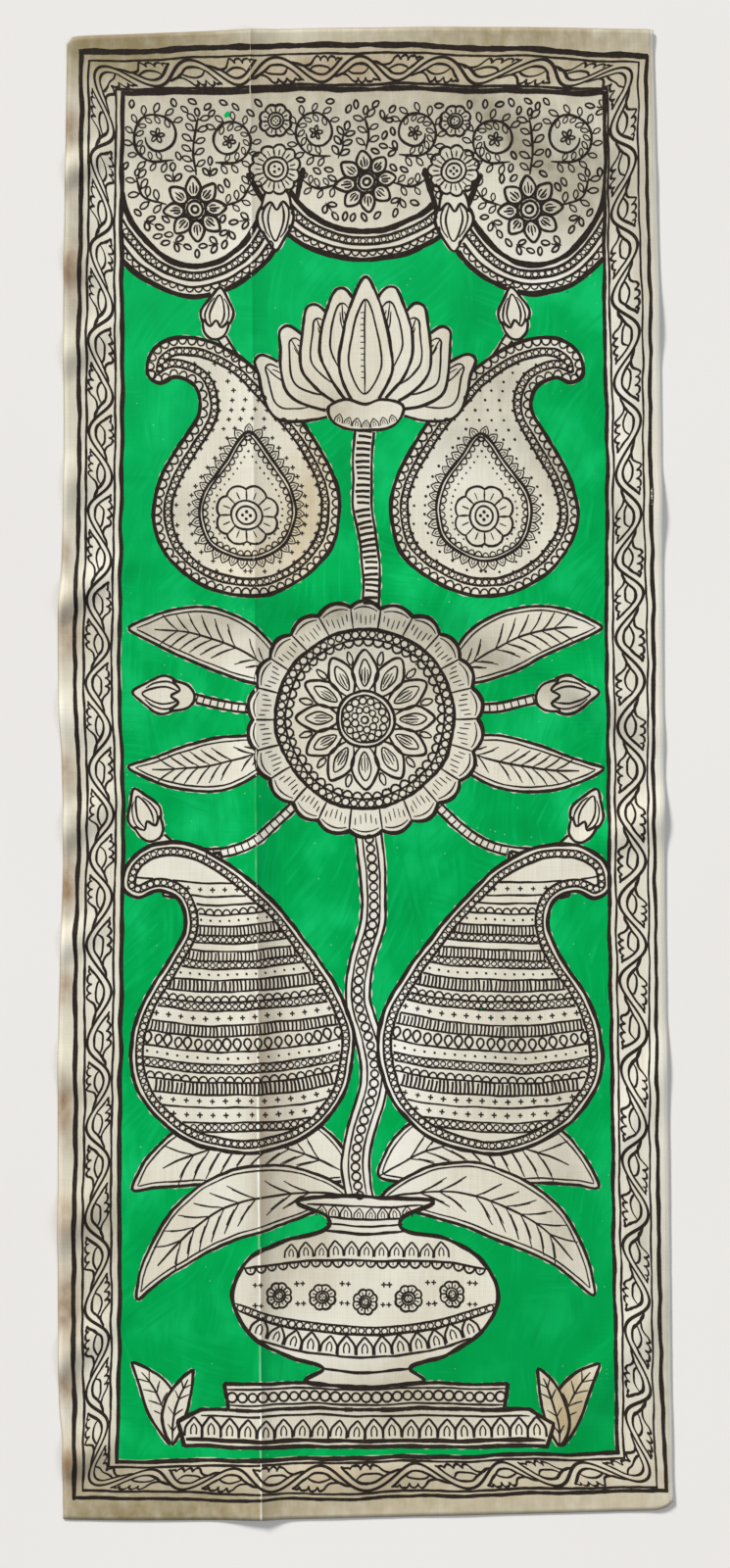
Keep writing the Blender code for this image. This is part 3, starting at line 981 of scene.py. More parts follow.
def vase():
    # a petalled seat and a step, then the pot and its neck
    form(evenly(counter(mirrored([(-93, -343), (-96, -331), (-84, -324)])), 1.4, True), 1.6)
    line(straight(92, -340), 1.6)
    row("petal", straight(88, -338.5, 1.0), 9.2, 9.0)
    line(straight(84, -327.4), 0.8)
    form(evenly(counter(mirrored([(-70, -324), (-72, -311)])), 1.4, True), 1.4)
    line(straight(70, -321.5), 0.8)
    line(straight(71, -313.5), 0.8)
    row("bead", straight(68, -317.5, 1.0), 5.2, 4.7)
    pot = mirrored([
        (-29, -311), (-22, -303), (-40, -297), (-60, -284), (-68, -266),
        (-60, -248), (-42, -238), (-21, -233), (-19, -226), (-33, -217),
    ])
    pot[-1, 0] = 27
    shape(pot, 1.6)
    drawBands(potBands)
    shoulder = mirrored([(-62, -252), (-34, -249), (0, -248)])
    curve(shoulder, 1.0)
    for kind, size in (("scallop", 5.0), ("tick", 2.2)):
        row(kind, smooth(shoulder)[3:-3][::-1], 5.4, size)
    row("petal", smooth(mirrored([(-38, -247), (0, -246)])), 7.2, 7.2)
    for x in (-44, -22, 0, 22, 44):
        rosette(x, -265.5 - (6 - abs(x) / 8) * 0.6, 6.6, 8, front=False)
    for x in (-55, -33, -11, 11, 33, 55):
        for y in (-260, -270.5):
            row("plus", [(x - 1.5, y), (x, y), (x + 1.5, y)], 6, 2.6)
    drawBands(neckBands)


def panel():
    canopy()
    for points in swagTops:
        swag(points)
    for x in (-46, 45):
        bud(x, 294, 180, 1.3)
        rosette(x, 308, 13.0, 11)
    # leaves behind the trunk
    for side, shift in ((-1, 0.0), (1, 1.2)):
        leaf((side * 6, -206 + shift), (side * 119, -212 + shift), 44, side * 20, 9)
        leaf((side * 8, -216), (side * 117, -268 + shift * 2), 34, side * 22, 8)
        leaf((side * 40, 46), (side * 121, 74 + shift), 30, side * 9, 8)
        leaf((side * 40, 18), (side * 121, 4 - shift), 26, side * -7, 8)
    # curling stalks with buds
    for side in (-1, 1):
        stem([(side * 40, 34), (side * 66, 34), (side * 90, 39)], 4.4)
        bud(side * 92, 39, side * -84, 1.3)
        stem([(side * 30, -10), (side * 60, -36), (side * 92, -40), (side * 108, -30)], 4.2)
        bud(side * 109, -30, side * -22, 1.15)
        leaf((side * 74, -40), (side * 104, -62), 14, side * -4, 4)
        stem([(side * 22, 196), (side * 58, 204), (side * 76, 226)], 4.2)
        bud(side * 77, 226, side * 8, 1.05)
        leaf((side * 100, -342), (side * 119, -300), 15, side * 5, 5)
        leaf((side * 99, -342), (side * 88, -304), 12, side * -3, 4)
    # the trunk below the medallion and above it
    trunk = [(0, -232), (-5, -196), (5, -152), (-4, -110), (4, -70), (0, -20)]
    stem(trunk, 13, ties=False)
    trunk = smooth(trunk, 1.2)
    row("bead", trunk, 4.8, 4.2)
    line(beside(trunk, 3.4), 0.7)
    line(beside(trunk, -3.4), 0.7)
    trunk = [(0, 60), (3, 100), (-2, 140), (0, 184)]
    stem(trunk, 9, ties=False)
    row("tick", beside(smooth(trunk, 1.2), -3.6), 3.0, 7.0)
    paisley(-61, -192, 163, 2, True, "bands")
    paisley(62, -192, 163, -2, False, "bands")
    paisley(-59, 92, 136, 2, True, "plus")
    paisley(59, 92, 136, -2, False, "dot")
    medallion(0, 28)
    lotus(0, 186, 112, 66)
    vase()
    # nothing runs past the line round the panel
    kept = []
    for mark in drawing:
        room = panelOutline * (0.985, 0.996) if "size" in mark else panelOutline
        kept += trimmed(mark, inside(mark["points"], room))
    drawing[:] = kept


# The border: two ruled lines outside the vine and two inside, each side its own stroke.
# Widths of the four sides in mm, their points clockwise from the lower left corner.
borderLines = {
    "outerThick": ((2.2, 2.9, 1.95, 1.8), (
        ((-149, -370.5), (-148.5, -280), (-148.3, -195), (-147.5, -85), (-146, -20), (-148, 45), (-148, 75),
         (-146, 155), (-146, 230), (-144.9, 330), (-144.7, 368.6)),
        ((-146, 367.6), (-75, 370), (1, 371.7), (75, 369.5), (143.9, 365.5)),
        ((143.4, 366.2), (144.3, 260), (145.7, 155), (147, 5), (149, -195), (150.5, -290), (153.3, -366.3)),
        ((154.2, -365.2), (75, -367.5), (1, -369), (-76, -370.2), (-150, -369.2)))),
    "outerThin": ((1.25, 1.15, 1.0, 1.3), (
        ((-144.2, -366.2), (-144, -280), (-143.7, -195), (-143, -85), (-141.75, -20), (-143.7, 45),
         (-143.2, 90), (-142.5, 155), (-141.8, 250), (-141, 363.2)),
        ((-141.5, 362.9), (-70, 365.6), (1, 367.7), (75, 365.8), (139.4, 362.6)),
        ((139, 363), (140.2, 260), (142, 155), (144, 5), (145, -195), (147, -325), (148.5, -364.3)),
        ((149, -363.8), (75, -365), (1, -366.2), (-45, -367.2), (-95, -366.3), (-144.6, -365.6)))),
    "innerThin": ((1.15, 1.5, 1.1, 1.25), (
        ((-130.5, -353.3), (-130, -280), (-129.4, -195), (-128.5, -85), (-127.2, -20), (-129.6, 45),
         (-128.8, 90), (-128, 155), (-127.7, 250), (-127.4, 349.2)),
        ((-127.8, 348.8), (-60, 350.3), (1, 351.7), (60, 350.6), (123, 349.3)),
        ((122.8, 349.6), (124.4, 260), (126, 155), (127, 5), (129.5, -195), (130.8, -290), (131.9, -349.3)),
        ((132.2, -348.9), (75, -349.7), (1, -350.8), (-70, -352.3), (-130.9, -353)))),
    "innerThick": ((2.15, 2.6, 1.95, 2.1), (
        ((-126.2, -351.4), (-125.8, -280), (-125.3, -195), (-124.5, -85), (-123.4, -20), (-125.8, 45),
         (-125, 90), (-124.4, 155), (-124.2, 250), (-124, 347.8)),
        ((-125, 346.8), (-60, 348.2), (1, 349.3), (60, 348.3), (122.3, 347)),
        ((121.3, 348), (122, 260), (122.9, 155), (123.6, 5), (126.2, -195), (127.3, -290), (128.5, -347)),
        ((129.6, -345.8), (75, -347.3), (1, -348.7), (-70, -349.7), (-127.2, -350.2)))),
}


def border():
    for widths, sides in borderLines.values():
        for width, points in zip(widths, sides):
            line(smooth(points, 1.3), width / hand["press"], False, 0.1)


# The leaf vine between the two thin lines. A motif is drawn in (along, out) millimetres round a crest.
vinePlan = {
    "period": 45.0,
    "halfWidth": 6.75,
    "countLong": 16, "countShort": 6,
    "outerRound": 13.0, "innerRound": 2.0,      # rounding of the two lines that guide it at the corners
    "swing": 5.6,                               # of the stalk's wave
    "lineWidth": 0.86,
    "waveShare": 1.1,                           # of the line width, as in the strokes with their taper
    "secondStroke": (1.0, 0.5), "lobeStroke": (0.92, 0.25), "veinStroke": (0.82, 0.3),
    "variants": 3, "unevenness": 0.24,
    "slip": 5.0,                                # so that no two waves are quite as long
    "lead": 60,                                 # points of the rail before its start and after its end
    "seed": 7,
}

# The leaf under a crest, its base first: outline in four lobes, the stalk's second line, the vein.
crestLeaf = {
    "lobes": (
        ((-13.0, -3.0), (-10.4, -2.0), (-7.8, -2.0), (-5.8, -3.1), (-4.3, -4.7), (-2.9, -5.4), (-1.5, -5.2),
         (-0.6, -3.5)),
        ((-0.8, -3.6), (0.1, -5.1), (1.5, -5.7), (2.9, -5.2), (3.8, -3.4)),
        ((3.6, -3.5), (4.6, -5.0), (6.2, -5.6), (7.6, -5.1), (8.2, -3.8)),
        ((8.0, -3.9), (9.2, -4.9), (10.8, -4.6), (12.6, -5.0)),
    ),
    "second": ((12.7, -5.0), (10.8, -3.6), (8.7, -1.7), (6.2, 0.4), (3.2, 2.0), (0, 2.5), (-3.2, 1.9),
               (-6.4, 0.1), (-9.4, -1.6), (-12.0, -2.7), (-14.0, -3.1), (-15.8, -3.4)),
    "vein": ((-7.2, -0.3), (-4.4, -1.4), (-1.0, -2.0), (2.4, -1.7), (4.4, -0.4), (5.3, 1.0)),
}
# The leaf over a trough.
troughLeaf = {
    "lobes": (
        ((-13.4, 3.0), (-10.6, 1.8), (-7.8, 1.5), (-5.4, 2.1), (-3.9, 3.4), (-3.0, 4.8), (-1.7, 5.5),
         (-0.3, 5.1), (0.6, 3.5)),
        ((0.4, 3.6), (1.3, 5.1), (2.7, 5.7), (4.1, 5.1), (4.9, 3.4)),
        ((4.7, 3.5), (5.8, 5.0), (7.4, 5.6), (8.8, 5.0), (9.3, 3.8)),
        ((9.1, 3.9), (10.2, 4.9), (11.6, 4.7), (13.0, 5.0)),
    ),
    "second": ((13.0, 4.9), (11.0, 3.4), (8.8, 1.6), (6.2, -0.4), (3.2, -1.9), (0, -2.45), (-3.2, -1.9),
               (-6.4, -0.1), (-9.6, 1.6), (-12.0, 2.6), (-14.0, 3.1), (-15.8, 3.4)),
    "vein": ((-6.2, -0.3), (-3.6, 0.9), (-0.4, 1.7), (2.8, 1.4), (5.0, 0.3), (6.0, -0.6)),
}


def vineMotif(seed):
    # one wave of the vine: the stalk and its two leaves
    change = random.Random(seed)
    width, half, amount = vinePlan["lineWidth"], vinePlan["period"] / 2, vinePlan["unevenness"]
    places = np.linspace(-half, half, 50)
    wave = np.column_stack([places, vinePlan["swing"] * np.cos(math.pi * places / half)])
    strips = [(*brushStrip(wave, width * vinePlan["waveShare"], False, 0, 1, 0.0), False, 0)]
    for plan, shift in ((crestLeaf, 0.0), (troughLeaf, half)):
        strokes = [(plan["second"], vinePlan["secondStroke"])]
        strokes += [(lobe, vinePlan["lobeStroke"]) for lobe in plan["lobes"]]
        strokes += [(plan["vein"], vinePlan["veinStroke"])]
        for points, (share, taper) in strokes:
            moved = [(s + shift + change.uniform(-amount, amount), t + change.uniform(-amount, amount))
                     for s, t in points]
            sides = brushStrip(smooth(moved, 0.7), width * share, False, taper, seed * 31 + len(strips))
            strips.append((*sides, False, len(strips) % hand["layerCount"]))
    return strips


def cornered(sides, radius):
    # the four sides of a ruled line as one loop with rounded corners, cut where each corner's middle is
    corners = []
    for i, points in enumerate(sides):
        (x1, y1), (x2, y2) = sides[i - 1][-2:]
        (x3, y3), (x4, y4) = points[:2]
        away = (x1 - x2) * (y3 - y4) - (y1 - y2) * (x3 - x4)
        first, second = x1 * y2 - y1 * x2, x3 * y4 - y3 * x4
        corners.append(np.array([(first * (x3 - x4) - (x1 - x2) * second) / away,
                                 (first * (y3 - y4) - (y1 - y2) * second) / away]))
    spacing = 0.5
    reach = int(radius / spacing)
    paths = []
    for i, points in enumerate(sides):
        paths.append(evenly(smooth([corners[i], *points[1:-1], corners[(i + 1) % 4]]), spacing))
    share = np.linspace(0.5, 1, 14)[:, None]

    def bend(own, other, corner):
        # from the middle of a rounded corner to where the side goes on
        return (1 - share) ** 2 * other[reach] + 2 * share * (1 - share) * corner + share ** 2 * own[reach]

    rounded = []
    for i, path in enumerate(paths):
        after = (i + 1) % 4
        head = bend(path, paths[i - 1][::-1], corners[i])
        tail = bend(path[::-1], paths[after], corners[after])
        rounded.append(np.vstack([head, path[reach + 1:len(path) - reach - 1], tail[::-1]]))
    return rounded


def vineRail(name, radius):
    # points along a rounded line of the border, one for each millimetre of the motif, with its leads
    counts = (vinePlan["countLong"], vinePlan["countShort"]) * 2
    loop = []
    for path, count in zip(cornered(borderLines[name][1], radius), counts):
        lengths = lengthsAlong(path)
        share = np.linspace(0, 1, int(count * vinePlan["period"]), endpoint=False)
        uneven = handNoise(share * lengths[-1] / 40, 0 * share, len(loop) + 60)
        slip = vinePlan["slip"] * np.sin(math.pi * share) * uneven
        loop.append(pointsAt(path, lengths, share * lengths[-1] + slip))
    loop = swayed(np.vstack(loop))
    lead = vinePlan["lead"]
    points = np.vstack([loop[-lead:], loop, loop[:lead]])
    return linkPiece("rail", drawnMesh("rail", points, [(i, i + 1) for i in range(len(points) - 1)]))


# Lines become flat strips as wide as the brush was pressed.
def brushStrip(points, width, closed, taper, seed, uneven=hand["widthChange"]):
    places = np.arange(len(points)) / hand["widthSize"]
    swell, rough = [handNoise(places * rate, 0 * places, seed + shift)
                    for rate, shift in zip(hand["widthRates"], (0, 5))]
    half = hand["press"] * width / 2 * (1 + uneven * (swell + hand["edge"] * rough))
    if not closed and taper:
        reach = min(hand["taperPoints"], len(points) // 2)
        ends = 1 - taper * np.linspace(1, 0, reach, endpoint=False)
        half[:reach] *= ends
        half[len(half) - reach:] *= ends[::-1]
    side = leftward(points, closed) * half[:, None]
    return points + side, points - side


def stripMesh(name, strips):
    # strips: left points, right points, closed, layer
    points, heights, faces = [], [], []
    for left, right, closed, layer in strips:
        start, count = len(points), len(left)
        points += [*left, *right]
        heights += [layer * hand["layerStep"]] * (2 * count)
        for i in range(count if closed else count - 1):
            j = (i + 1) % count
            faces.append((start + i, start + count + i, start + count + j, start + j))
    return drawnMesh(name, points, (), faces, heights)


def markMesh(shapes):
    # one small mark of a row, one millimetre in size
    strips = []
    for outline, width, closed in shapes:
        if not width:
            return drawnMesh("mark", outline, (), [tuple(range(len(outline)))])
        sides = brushStrip(np.array(outline), width / hand["press"], closed, 0.0, 3, 0.0)
        strips.append((*sides, closed, 0))
    return stripMesh("mark", strips)


# Materials. All read Object coordinates, in metres, and share the cloth's weave.
# Every layer of tone says which noise it follows, its tone and its levels: low, high, share at each.
silkPlan = {
    "base": "E8E4D4", "shade": "DBD5C2", "thread": "B7AC90",
    # The pale tone also lays painted highlight; the grey, brown and khaki tones, the tone by the cut edges
    # and the dark tone beside the long fold lay painted shade, the khaki partly a tint.
    "pale": "FBFBF4", "shaded": "8B846D", "yellow": "BFA56C", "khakiAndShade": "8A7A52", "brownShade": "8F6E4C",
    "cutEdgeShade": "8C8474", "foldShade": "85765A",
    "slub": (0.0010, 0.030),                        # tussar's thick places are about 1 mm wide
    "clouds": (0.030, 0.055), "blotches": (0.006, 0.009), "blotchLevels": (0.25, 0.7, 0.6, 1.1),
    "threadSpacing": 0.0008,                        # real threads are 0.3 mm apart, drawn coarser to show
    "warpLength": 0.016, "weftLength": 0.014, "weftShare": 0.6,
    "roughness": 0.72, "bump": 0.00012, "weave": 0.5, "specular": 0.35, "sheen": 0.12, "sheenRoughness": 0.5,
    "tones": (
        ("clouds", "shade", (0.35, 0.68, 0, 1)), ("warpSlubs", "thread", (0.50, 0.78, 0, 0.26)),
        ("weftSlubs", "pale", (0.54, 0.80, 0, 0.16)), ("weave", "thread", (0.80, 1.15, 0, 0.24)),
        ("weave", "pale", (0.72, 0.50, 0, 0.24)),
    ),
    "edges": (
        # a pale strip by the right selvedge, partly painted highlight; painted shadow just inside the cut
        # edges, where they meet the floor
        ("fromRightEdge", "pale", (0.0012, 0.0018, 0.65, 0)),
        ("fromCutEdge", "cutEdgeShade", (0.0002, 0.0009, 0.6, 0)),
    ),
    "wear": {"halfWidth": 0.0007, "broken": (0.25, 1.0), "upper": 0.2},
}
paintPlan = {
    # the darkest green is painted shade to the right of the long fold
    "base": "00AA53", "dark": "009545", "light": "10C26B", "rubbed": "8CCB9E", "foldShade": "007A3A",
    "stroke": (0.0024, 0.040), "turns": (0, -38, 84),       # how the brush was turned, in degrees
    "turnLevels": ((0.50, 0.56, 0, 1), (0.42, 0.37, 0, 1)),
    "wanderScale": 16.0, "wanderReach": (0.03, 0.03, 0.0),
    "zones": (0.05, 0.06), "clouds": (0.032, 0.045), "slant": -0.6,
    "pinholeScale": 260.0, "pinholeLevels": (0.05, 0.11, 1, 0),
    "pinholePatches": (0.012, 0.014), "patchLevels": (0.58, 0.66, 0, 1),
    "roughness": 0.7, "weave": 0.35, "specular": 0.03,
    "tones": (
        ("clouds", "base", (0.32, 0.50, 0, 1)), ("clouds", "dark", (0.52, 0.72, 0, 0.8)),
        ("strokes", "dark", (0.52, 0.74, 0, 0.5)), ("strokes", "light", (0.46, 0.24, 0, 0.6)),
        # lighter towards the top, darker low on the right
        ("slanting", "light", (0.10, 0.34, 0, 0.42)), ("slanting", "dark", (-0.12, -0.38, 0, 0.6)),
    ),
    "wear": {"halfWidth": 0.0006, "broken": (0.0, 0.8), "upper": 0.0},
}
inkPlan = {
    "base": "2B2420", "worn": "493D32", "thin": "5A4E42",
    "dryPatches": (0.0022, 0.0028), "dryLevels": (0.52, 0.78, 0, 0.5), "thinLevels": (1.2, 1.45, 0, 0.25),
    "roughness": 0.7, "weave": 0.3, "specular": 0.08,
}


def newMaterial(name):
    material = bpy.data.materials.new(name)
    material.use_nodes = True
    tree = material.node_tree
    tree.nodes.clear()
    return material, tree, addNode(tree, "ShaderNodeTexCoord").outputs["Object"]


def surface(tree, inputs):
    addNode(tree, "ShaderNodeOutputMaterial", {"Surface": addNode(tree, "ShaderNodeBsdfPrincipled", inputs)})


def streaks(tree, place, size, detail=2.0, seed=0.0, turn=0.0):
    # noise drawn out along one direction; sizes in metres, turn in degrees
    depth = 0.025
    stretch = {"Location": (seed,) * 3, "Rotation": (0, 0, math.radians(turn)), "Scale": (*size, depth)}
    mapped = addNode(tree, "ShaderNodeMapping", {"Vector": place, **stretch}, vector_type="TEXTURE")
    grain = {"Scale": 1.0, "Detail": detail, "Roughness": 0.55}
    return addNode(tree, "ShaderNodeTexNoise", {"Vector": mapped, **grain})


def overlay(tree, colour, tone, share, levels=None):
    # lays a tone over a colour; with levels, the share is where the value lies between them
    if levels:
        share = addNode(tree, "ShaderNodeMapRange", dict(enumerate([share, *levels])), clamp=True)
    ends = [hexColour(end) if isinstance(end, str) else end for end in (colour, tone)]
    return addNode(tree, "ShaderNodeMix", {0: share, 6: ends[0], 7: ends[1]}, data_type="RGBA").outputs[2]


def faded(tree, share, value, *levels):
    # a share that also depends on where another value lies between its levels
    part = addNode(tree, "ShaderNodeMapRange", dict(enumerate([value, *levels])), clamp=True)
    return addNode(tree, "ShaderNodeMath", {0: share, 1: part}, operation="MULTIPLY")


def weaveBump(tree, place, strength):
    # the warp shows more than the weft
    spacing = silkPlan["threadSpacing"]
    warp = streaks(tree, place, (spacing, silkPlan["warpLength"]), 2.0, 1.0)
    weft = streaks(tree, place, (silkPlan["weftLength"], spacing), 2.0, 5.0)
    both = {0: weft, 1: silkPlan["weftShare"], 2: warp}
    weave = addNode(tree, "ShaderNodeMath", both, operation="MULTIPLY_ADD")
    relief = {"Strength": strength, "Distance": silkPlan["bump"], "Height": weave}
    return weave, addNode(tree, "ShaderNodeBump", relief)


# Wear and painted shade along the long fold, in metres: the crest's slope and offset, then how each layer
# fades.
foldWearAndShade = {
    "slope": 0.0079, "offset": 0.0561,
    "patches": (0.002, 0.018), "patchLevels": (0.36, 0.60), "rubbedFrom": (0.06, -0.16),
    "foldShadeStart": (0.0003, 0.0009, 0, 1), "foldShadeEnd": (0.0010, 0.0065, 0.5, 0),
    "foldShadeFrom": (0.02, -0.12, 0.4, 1),
}


def alongFold(tree, place, colour, plan, rubbed):
    # on the fold's crest a broken rubbed line, stronger lower down, and to its right painted shade on the
    # flank turned from the light
    wear, halfWidth = plan["wear"], plan["wear"]["halfWidth"]
    x, y = addNode(tree, "ShaderNodeSeparateXYZ", {0: place}).outputs[:2]
    slope = {0: y, 1: foldWearAndShade["slope"], 2: foldWearAndShade["offset"]}
    lean = addNode(tree, "ShaderNodeMath", slope, operation="MULTIPLY_ADD")
    away = addNode(tree, "ShaderNodeMath", {0: x, 1: lean}, operation="ADD")
    off = addNode(tree, "ShaderNodeMath", {0: away}, operation="ABSOLUTE")
    levels = {0: off, 1: halfWidth * 0.4, 2: halfWidth, 3: 1.0, 4: 0.0}
    near = addNode(tree, "ShaderNodeMapRange", levels, clamp=True)
    patches = streaks(tree, place, foldWearAndShade["patches"], 2.0, 12.0)
    worn = faded(tree, near, patches, *foldWearAndShade["patchLevels"], *wear["broken"])
    worn = faded(tree, worn, y, *foldWearAndShade["rubbedFrom"], wear["upper"], 1.0)
    foldShade = addNode(tree, "ShaderNodeMapRange", dict(enumerate([away, *foldWearAndShade["foldShadeStart"]])), clamp=True)
    foldShade = faded(tree, foldShade, away, *foldWearAndShade["foldShadeEnd"])
    foldShade = faded(tree, foldShade, y, *foldWearAndShade["foldShadeFrom"])
    return overlay(tree, overlay(tree, colour, plan["foldShade"], foldShade), plan[rubbed], worn)


def silkMaterial():
    # Tussar silk, woven on a hand loom and primed with gum: matt, uneven, with slubs both ways.
    material, tree, place = newMaterial("tussar silk, hand woven")
    weave, bump = weaveBump(tree, place, silkPlan["weave"])
    slub = silkPlan["slub"]
    values = {
        "weave": weave,
        "warpSlubs": streaks(tree, place, slub, 2.0, 2.0),
        "weftSlubs": streaks(tree, place, slub[::-1], 2.0, 9.0),
        "clouds": streaks(tree, place, silkPlan["clouds"], 3.0, 4.0),
    }
    colour = silkPlan["base"]
    for name, tone, levels in silkPlan["tones"]:
        colour = overlay(tree, colour, silkPlan[tone], values[name], levels)
    blotches = streaks(tree, place, silkPlan["blotches"], 2.0, 6.0)
    # patches of painted highlight and shade from the folds and ripples, and a few tints, each broken up by
    # blotches
    for name in paintedLightAndTints:
        shadeAndTint = addNode(tree, "ShaderNodeAttribute", attribute_name=name).outputs["Fac"]
        colour = overlay(tree, colour, silkPlan[name], faded(tree, shadeAndTint, blotches, *silkPlan["blotchLevels"]))
    colour = alongFold(tree, place, colour, silkPlan, "pale")
    for name, tone, levels in silkPlan["edges"]:
        distance = addNode(tree, "ShaderNodeAttribute", attribute_name=name).outputs["Fac"]
        colour = overlay(tree, colour, silkPlan[tone], distance, levels)
    surface(tree, {
        "Base Color": colour, "Normal": bump,
        "Roughness": silkPlan["roughness"], "Specular IOR Level": silkPlan["specular"],
        "Sheen Weight": silkPlan["sheen"], "Sheen Roughness": silkPlan["sheenRoughness"],
    })
    return material


def paintMaterial():
    # Opaque water-based green, brushed on in strokes that turn: flat, a little streaky, with pinholes.
    material, tree, place = newMaterial("green paint, brushed")
    bump = weaveBump(tree, place, paintPlan["weave"])[1]
    # the brush turned slowly, so the streaks are bent by a wide, weak noise
    grain = {"Vector": place, "Scale": paintPlan["wanderScale"], "Detail": 0.0}
    wander = addNode(tree, "ShaderNodeTexNoise", grain).outputs["Color"]
    bend = {0: wander, 1: paintPlan["wanderReach"], 2: place}
    bent = addNode(tree, "ShaderNodeVectorMath", bend, operation="MULTIPLY_ADD")
    strokes, *turned = [streaks(tree, bent, paintPlan["stroke"], 3.0, 3.0 + turn, turn).outputs[0]
                        for turn in paintPlan["turns"]]
    zones = streaks(tree, place, paintPlan["zones"], 1.0, 8.0)
    for other, levels in zip(turned, paintPlan["turnLevels"]):
        strokes = overlay(tree, strokes, other, zones, levels)
    x, y = addNode(tree, "ShaderNodeSeparateXYZ", {0: place}).outputs[:2]
    slant = {0: x, 1: paintPlan["slant"], 2: y}
    values = {
        "strokes": strokes,
        "clouds": streaks(tree, place, paintPlan["clouds"], 3.0, 18.0),
        "slanting": addNode(tree, "ShaderNodeMath", slant, operation="MULTIPLY_ADD"),
    }
    colour = paintPlan["light"]
    for name, tone, levels in paintPlan["tones"]:
        colour = overlay(tree, colour, paintPlan[tone], values[name], levels)
    colour = alongFold(tree, place, colour, paintPlan, "rubbed")
    cells = {"Vector": place, "Scale": paintPlan["pinholeScale"], "Randomness": 1.0}
    cells = addNode(tree, "ShaderNodeTexVoronoi", cells, feature="F1")
    levels = dict(enumerate([cells, *paintPlan["pinholeLevels"]]))
    pinholes = addNode(tree, "ShaderNodeMapRange", levels, clamp=True)
    patches = streaks(tree, place, paintPlan["pinholePatches"], 1.0, 20.0)
    pinholes = faded(tree, pinholes, patches, *paintPlan["patchLevels"])
    colour = overlay(tree, colour, paintPlan["rubbed"], pinholes)
    surface(tree, {
        "Base Color": colour, "Normal": bump,
        "Roughness": paintPlan["roughness"], "Specular IOR Level": paintPlan["specular"],
    })
    return material


def inkMaterial():
    # Brown-black ink laid with a fine brush: dense, a little thinner where the brush ran dry.
    material, tree, place = newMaterial("black ink, brushed")
    weave, bump = weaveBump(tree, place, inkPlan["weave"])
    dry = streaks(tree, place, inkPlan["dryPatches"], 3.0, 14.0)
    colour = overlay(tree, inkPlan["base"], inkPlan["worn"], dry, inkPlan["dryLevels"])
    colour = overlay(tree, colour, inkPlan["thin"], weave, inkPlan["thinLevels"])
    surface(tree, {
        "Base Color": colour, "Normal": bump,
        "Roughness": inkPlan["roughness"], "Specular IOR Level": inkPlan["specular"],
    })
    return material


silk, greenPaint, blackInk = silkMaterial(), paintMaterial(), inkMaterial()
cloth.data.materials.append(silk)
print("materials made")


# Node trees: one lays a flat drawing on the cloth, one repeats a mark along lines, one winds the vine.
def newTree(name, inputs=()):
    tree = bpy.data.node_groups.new(name, "GeometryNodeTree")
    tree.interface.new_socket("Geometry", in_out="INPUT", socket_type="NodeSocketGeometry")
    shared = (("Cloth", "Object", None), ("Film Height", "Float", 0.00008), ("Material", "Material", None))
    for label, kind, value in (*inputs, *shared):
        socket = tree.interface.new_socket(label, in_out="INPUT", socket_type="NodeSocket" + kind)
        if value is not None:
            socket.default_value = value
    tree.interface.new_socket("Geometry", in_out="OUTPUT", socket_type="NodeSocketGeometry")
    return tree, addNode(tree, "NodeGroupInput").outputs


def layOnCloth(tree, given, drawn):
    # drops each point of a flat drawing straight down onto the cloth, paints it and ends the tree
    under = addNode(tree, "GeometryNodeObjectInfo", {"Object": given["Cloth"]}).outputs["Geometry"]
    whole = addNode(tree, "GeometryNodeRealizeInstances", {0: drawn})
    x, y, z = addNode(tree, "ShaderNodeSeparateXYZ", {0: addNode(tree, "GeometryNodeInputPosition")}).outputs
    start = 0.05        # well above the highest fold
    above = addNode(tree, "ShaderNodeCombineXYZ", {0: x, 1: y, 2: start})
    ray = addNode(tree, "GeometryNodeRaycast", {
        "Target Geometry": under, "Source Position": above,
        "Ray Direction": (0, 0, -1), "Ray Length": 2 * start,
    })
    hit = addNode(tree, "ShaderNodeSeparateXYZ", {0: ray.outputs["Hit Position"]})
    film = addNode(tree, "ShaderNodeMath", {0: hit.outputs[2], 1: given["Film Height"]}, operation="ADD")
    height = addNode(tree, "ShaderNodeMath", {0: film, 1: z}, operation="ADD")
    laid = addNode(tree, "ShaderNodeCombineXYZ", {0: x, 1: y, 2: height})
    moved = addNode(tree, "GeometryNodeSetPosition", {"Geometry": whole, "Position": laid})
    plain = addNode(tree, "GeometryNodeRealizeInstances", {0: moved})
    painted = addNode(tree, "GeometryNodeSetMaterial", {"Geometry": plain, "Material": given["Material"]})
    addNode(tree, "NodeGroupOutput", {0: painted})
    return tree


def filmTree():
    tree, given = newTree("filmOnCloth")
    return layOnCloth(tree, given, given["Geometry"])


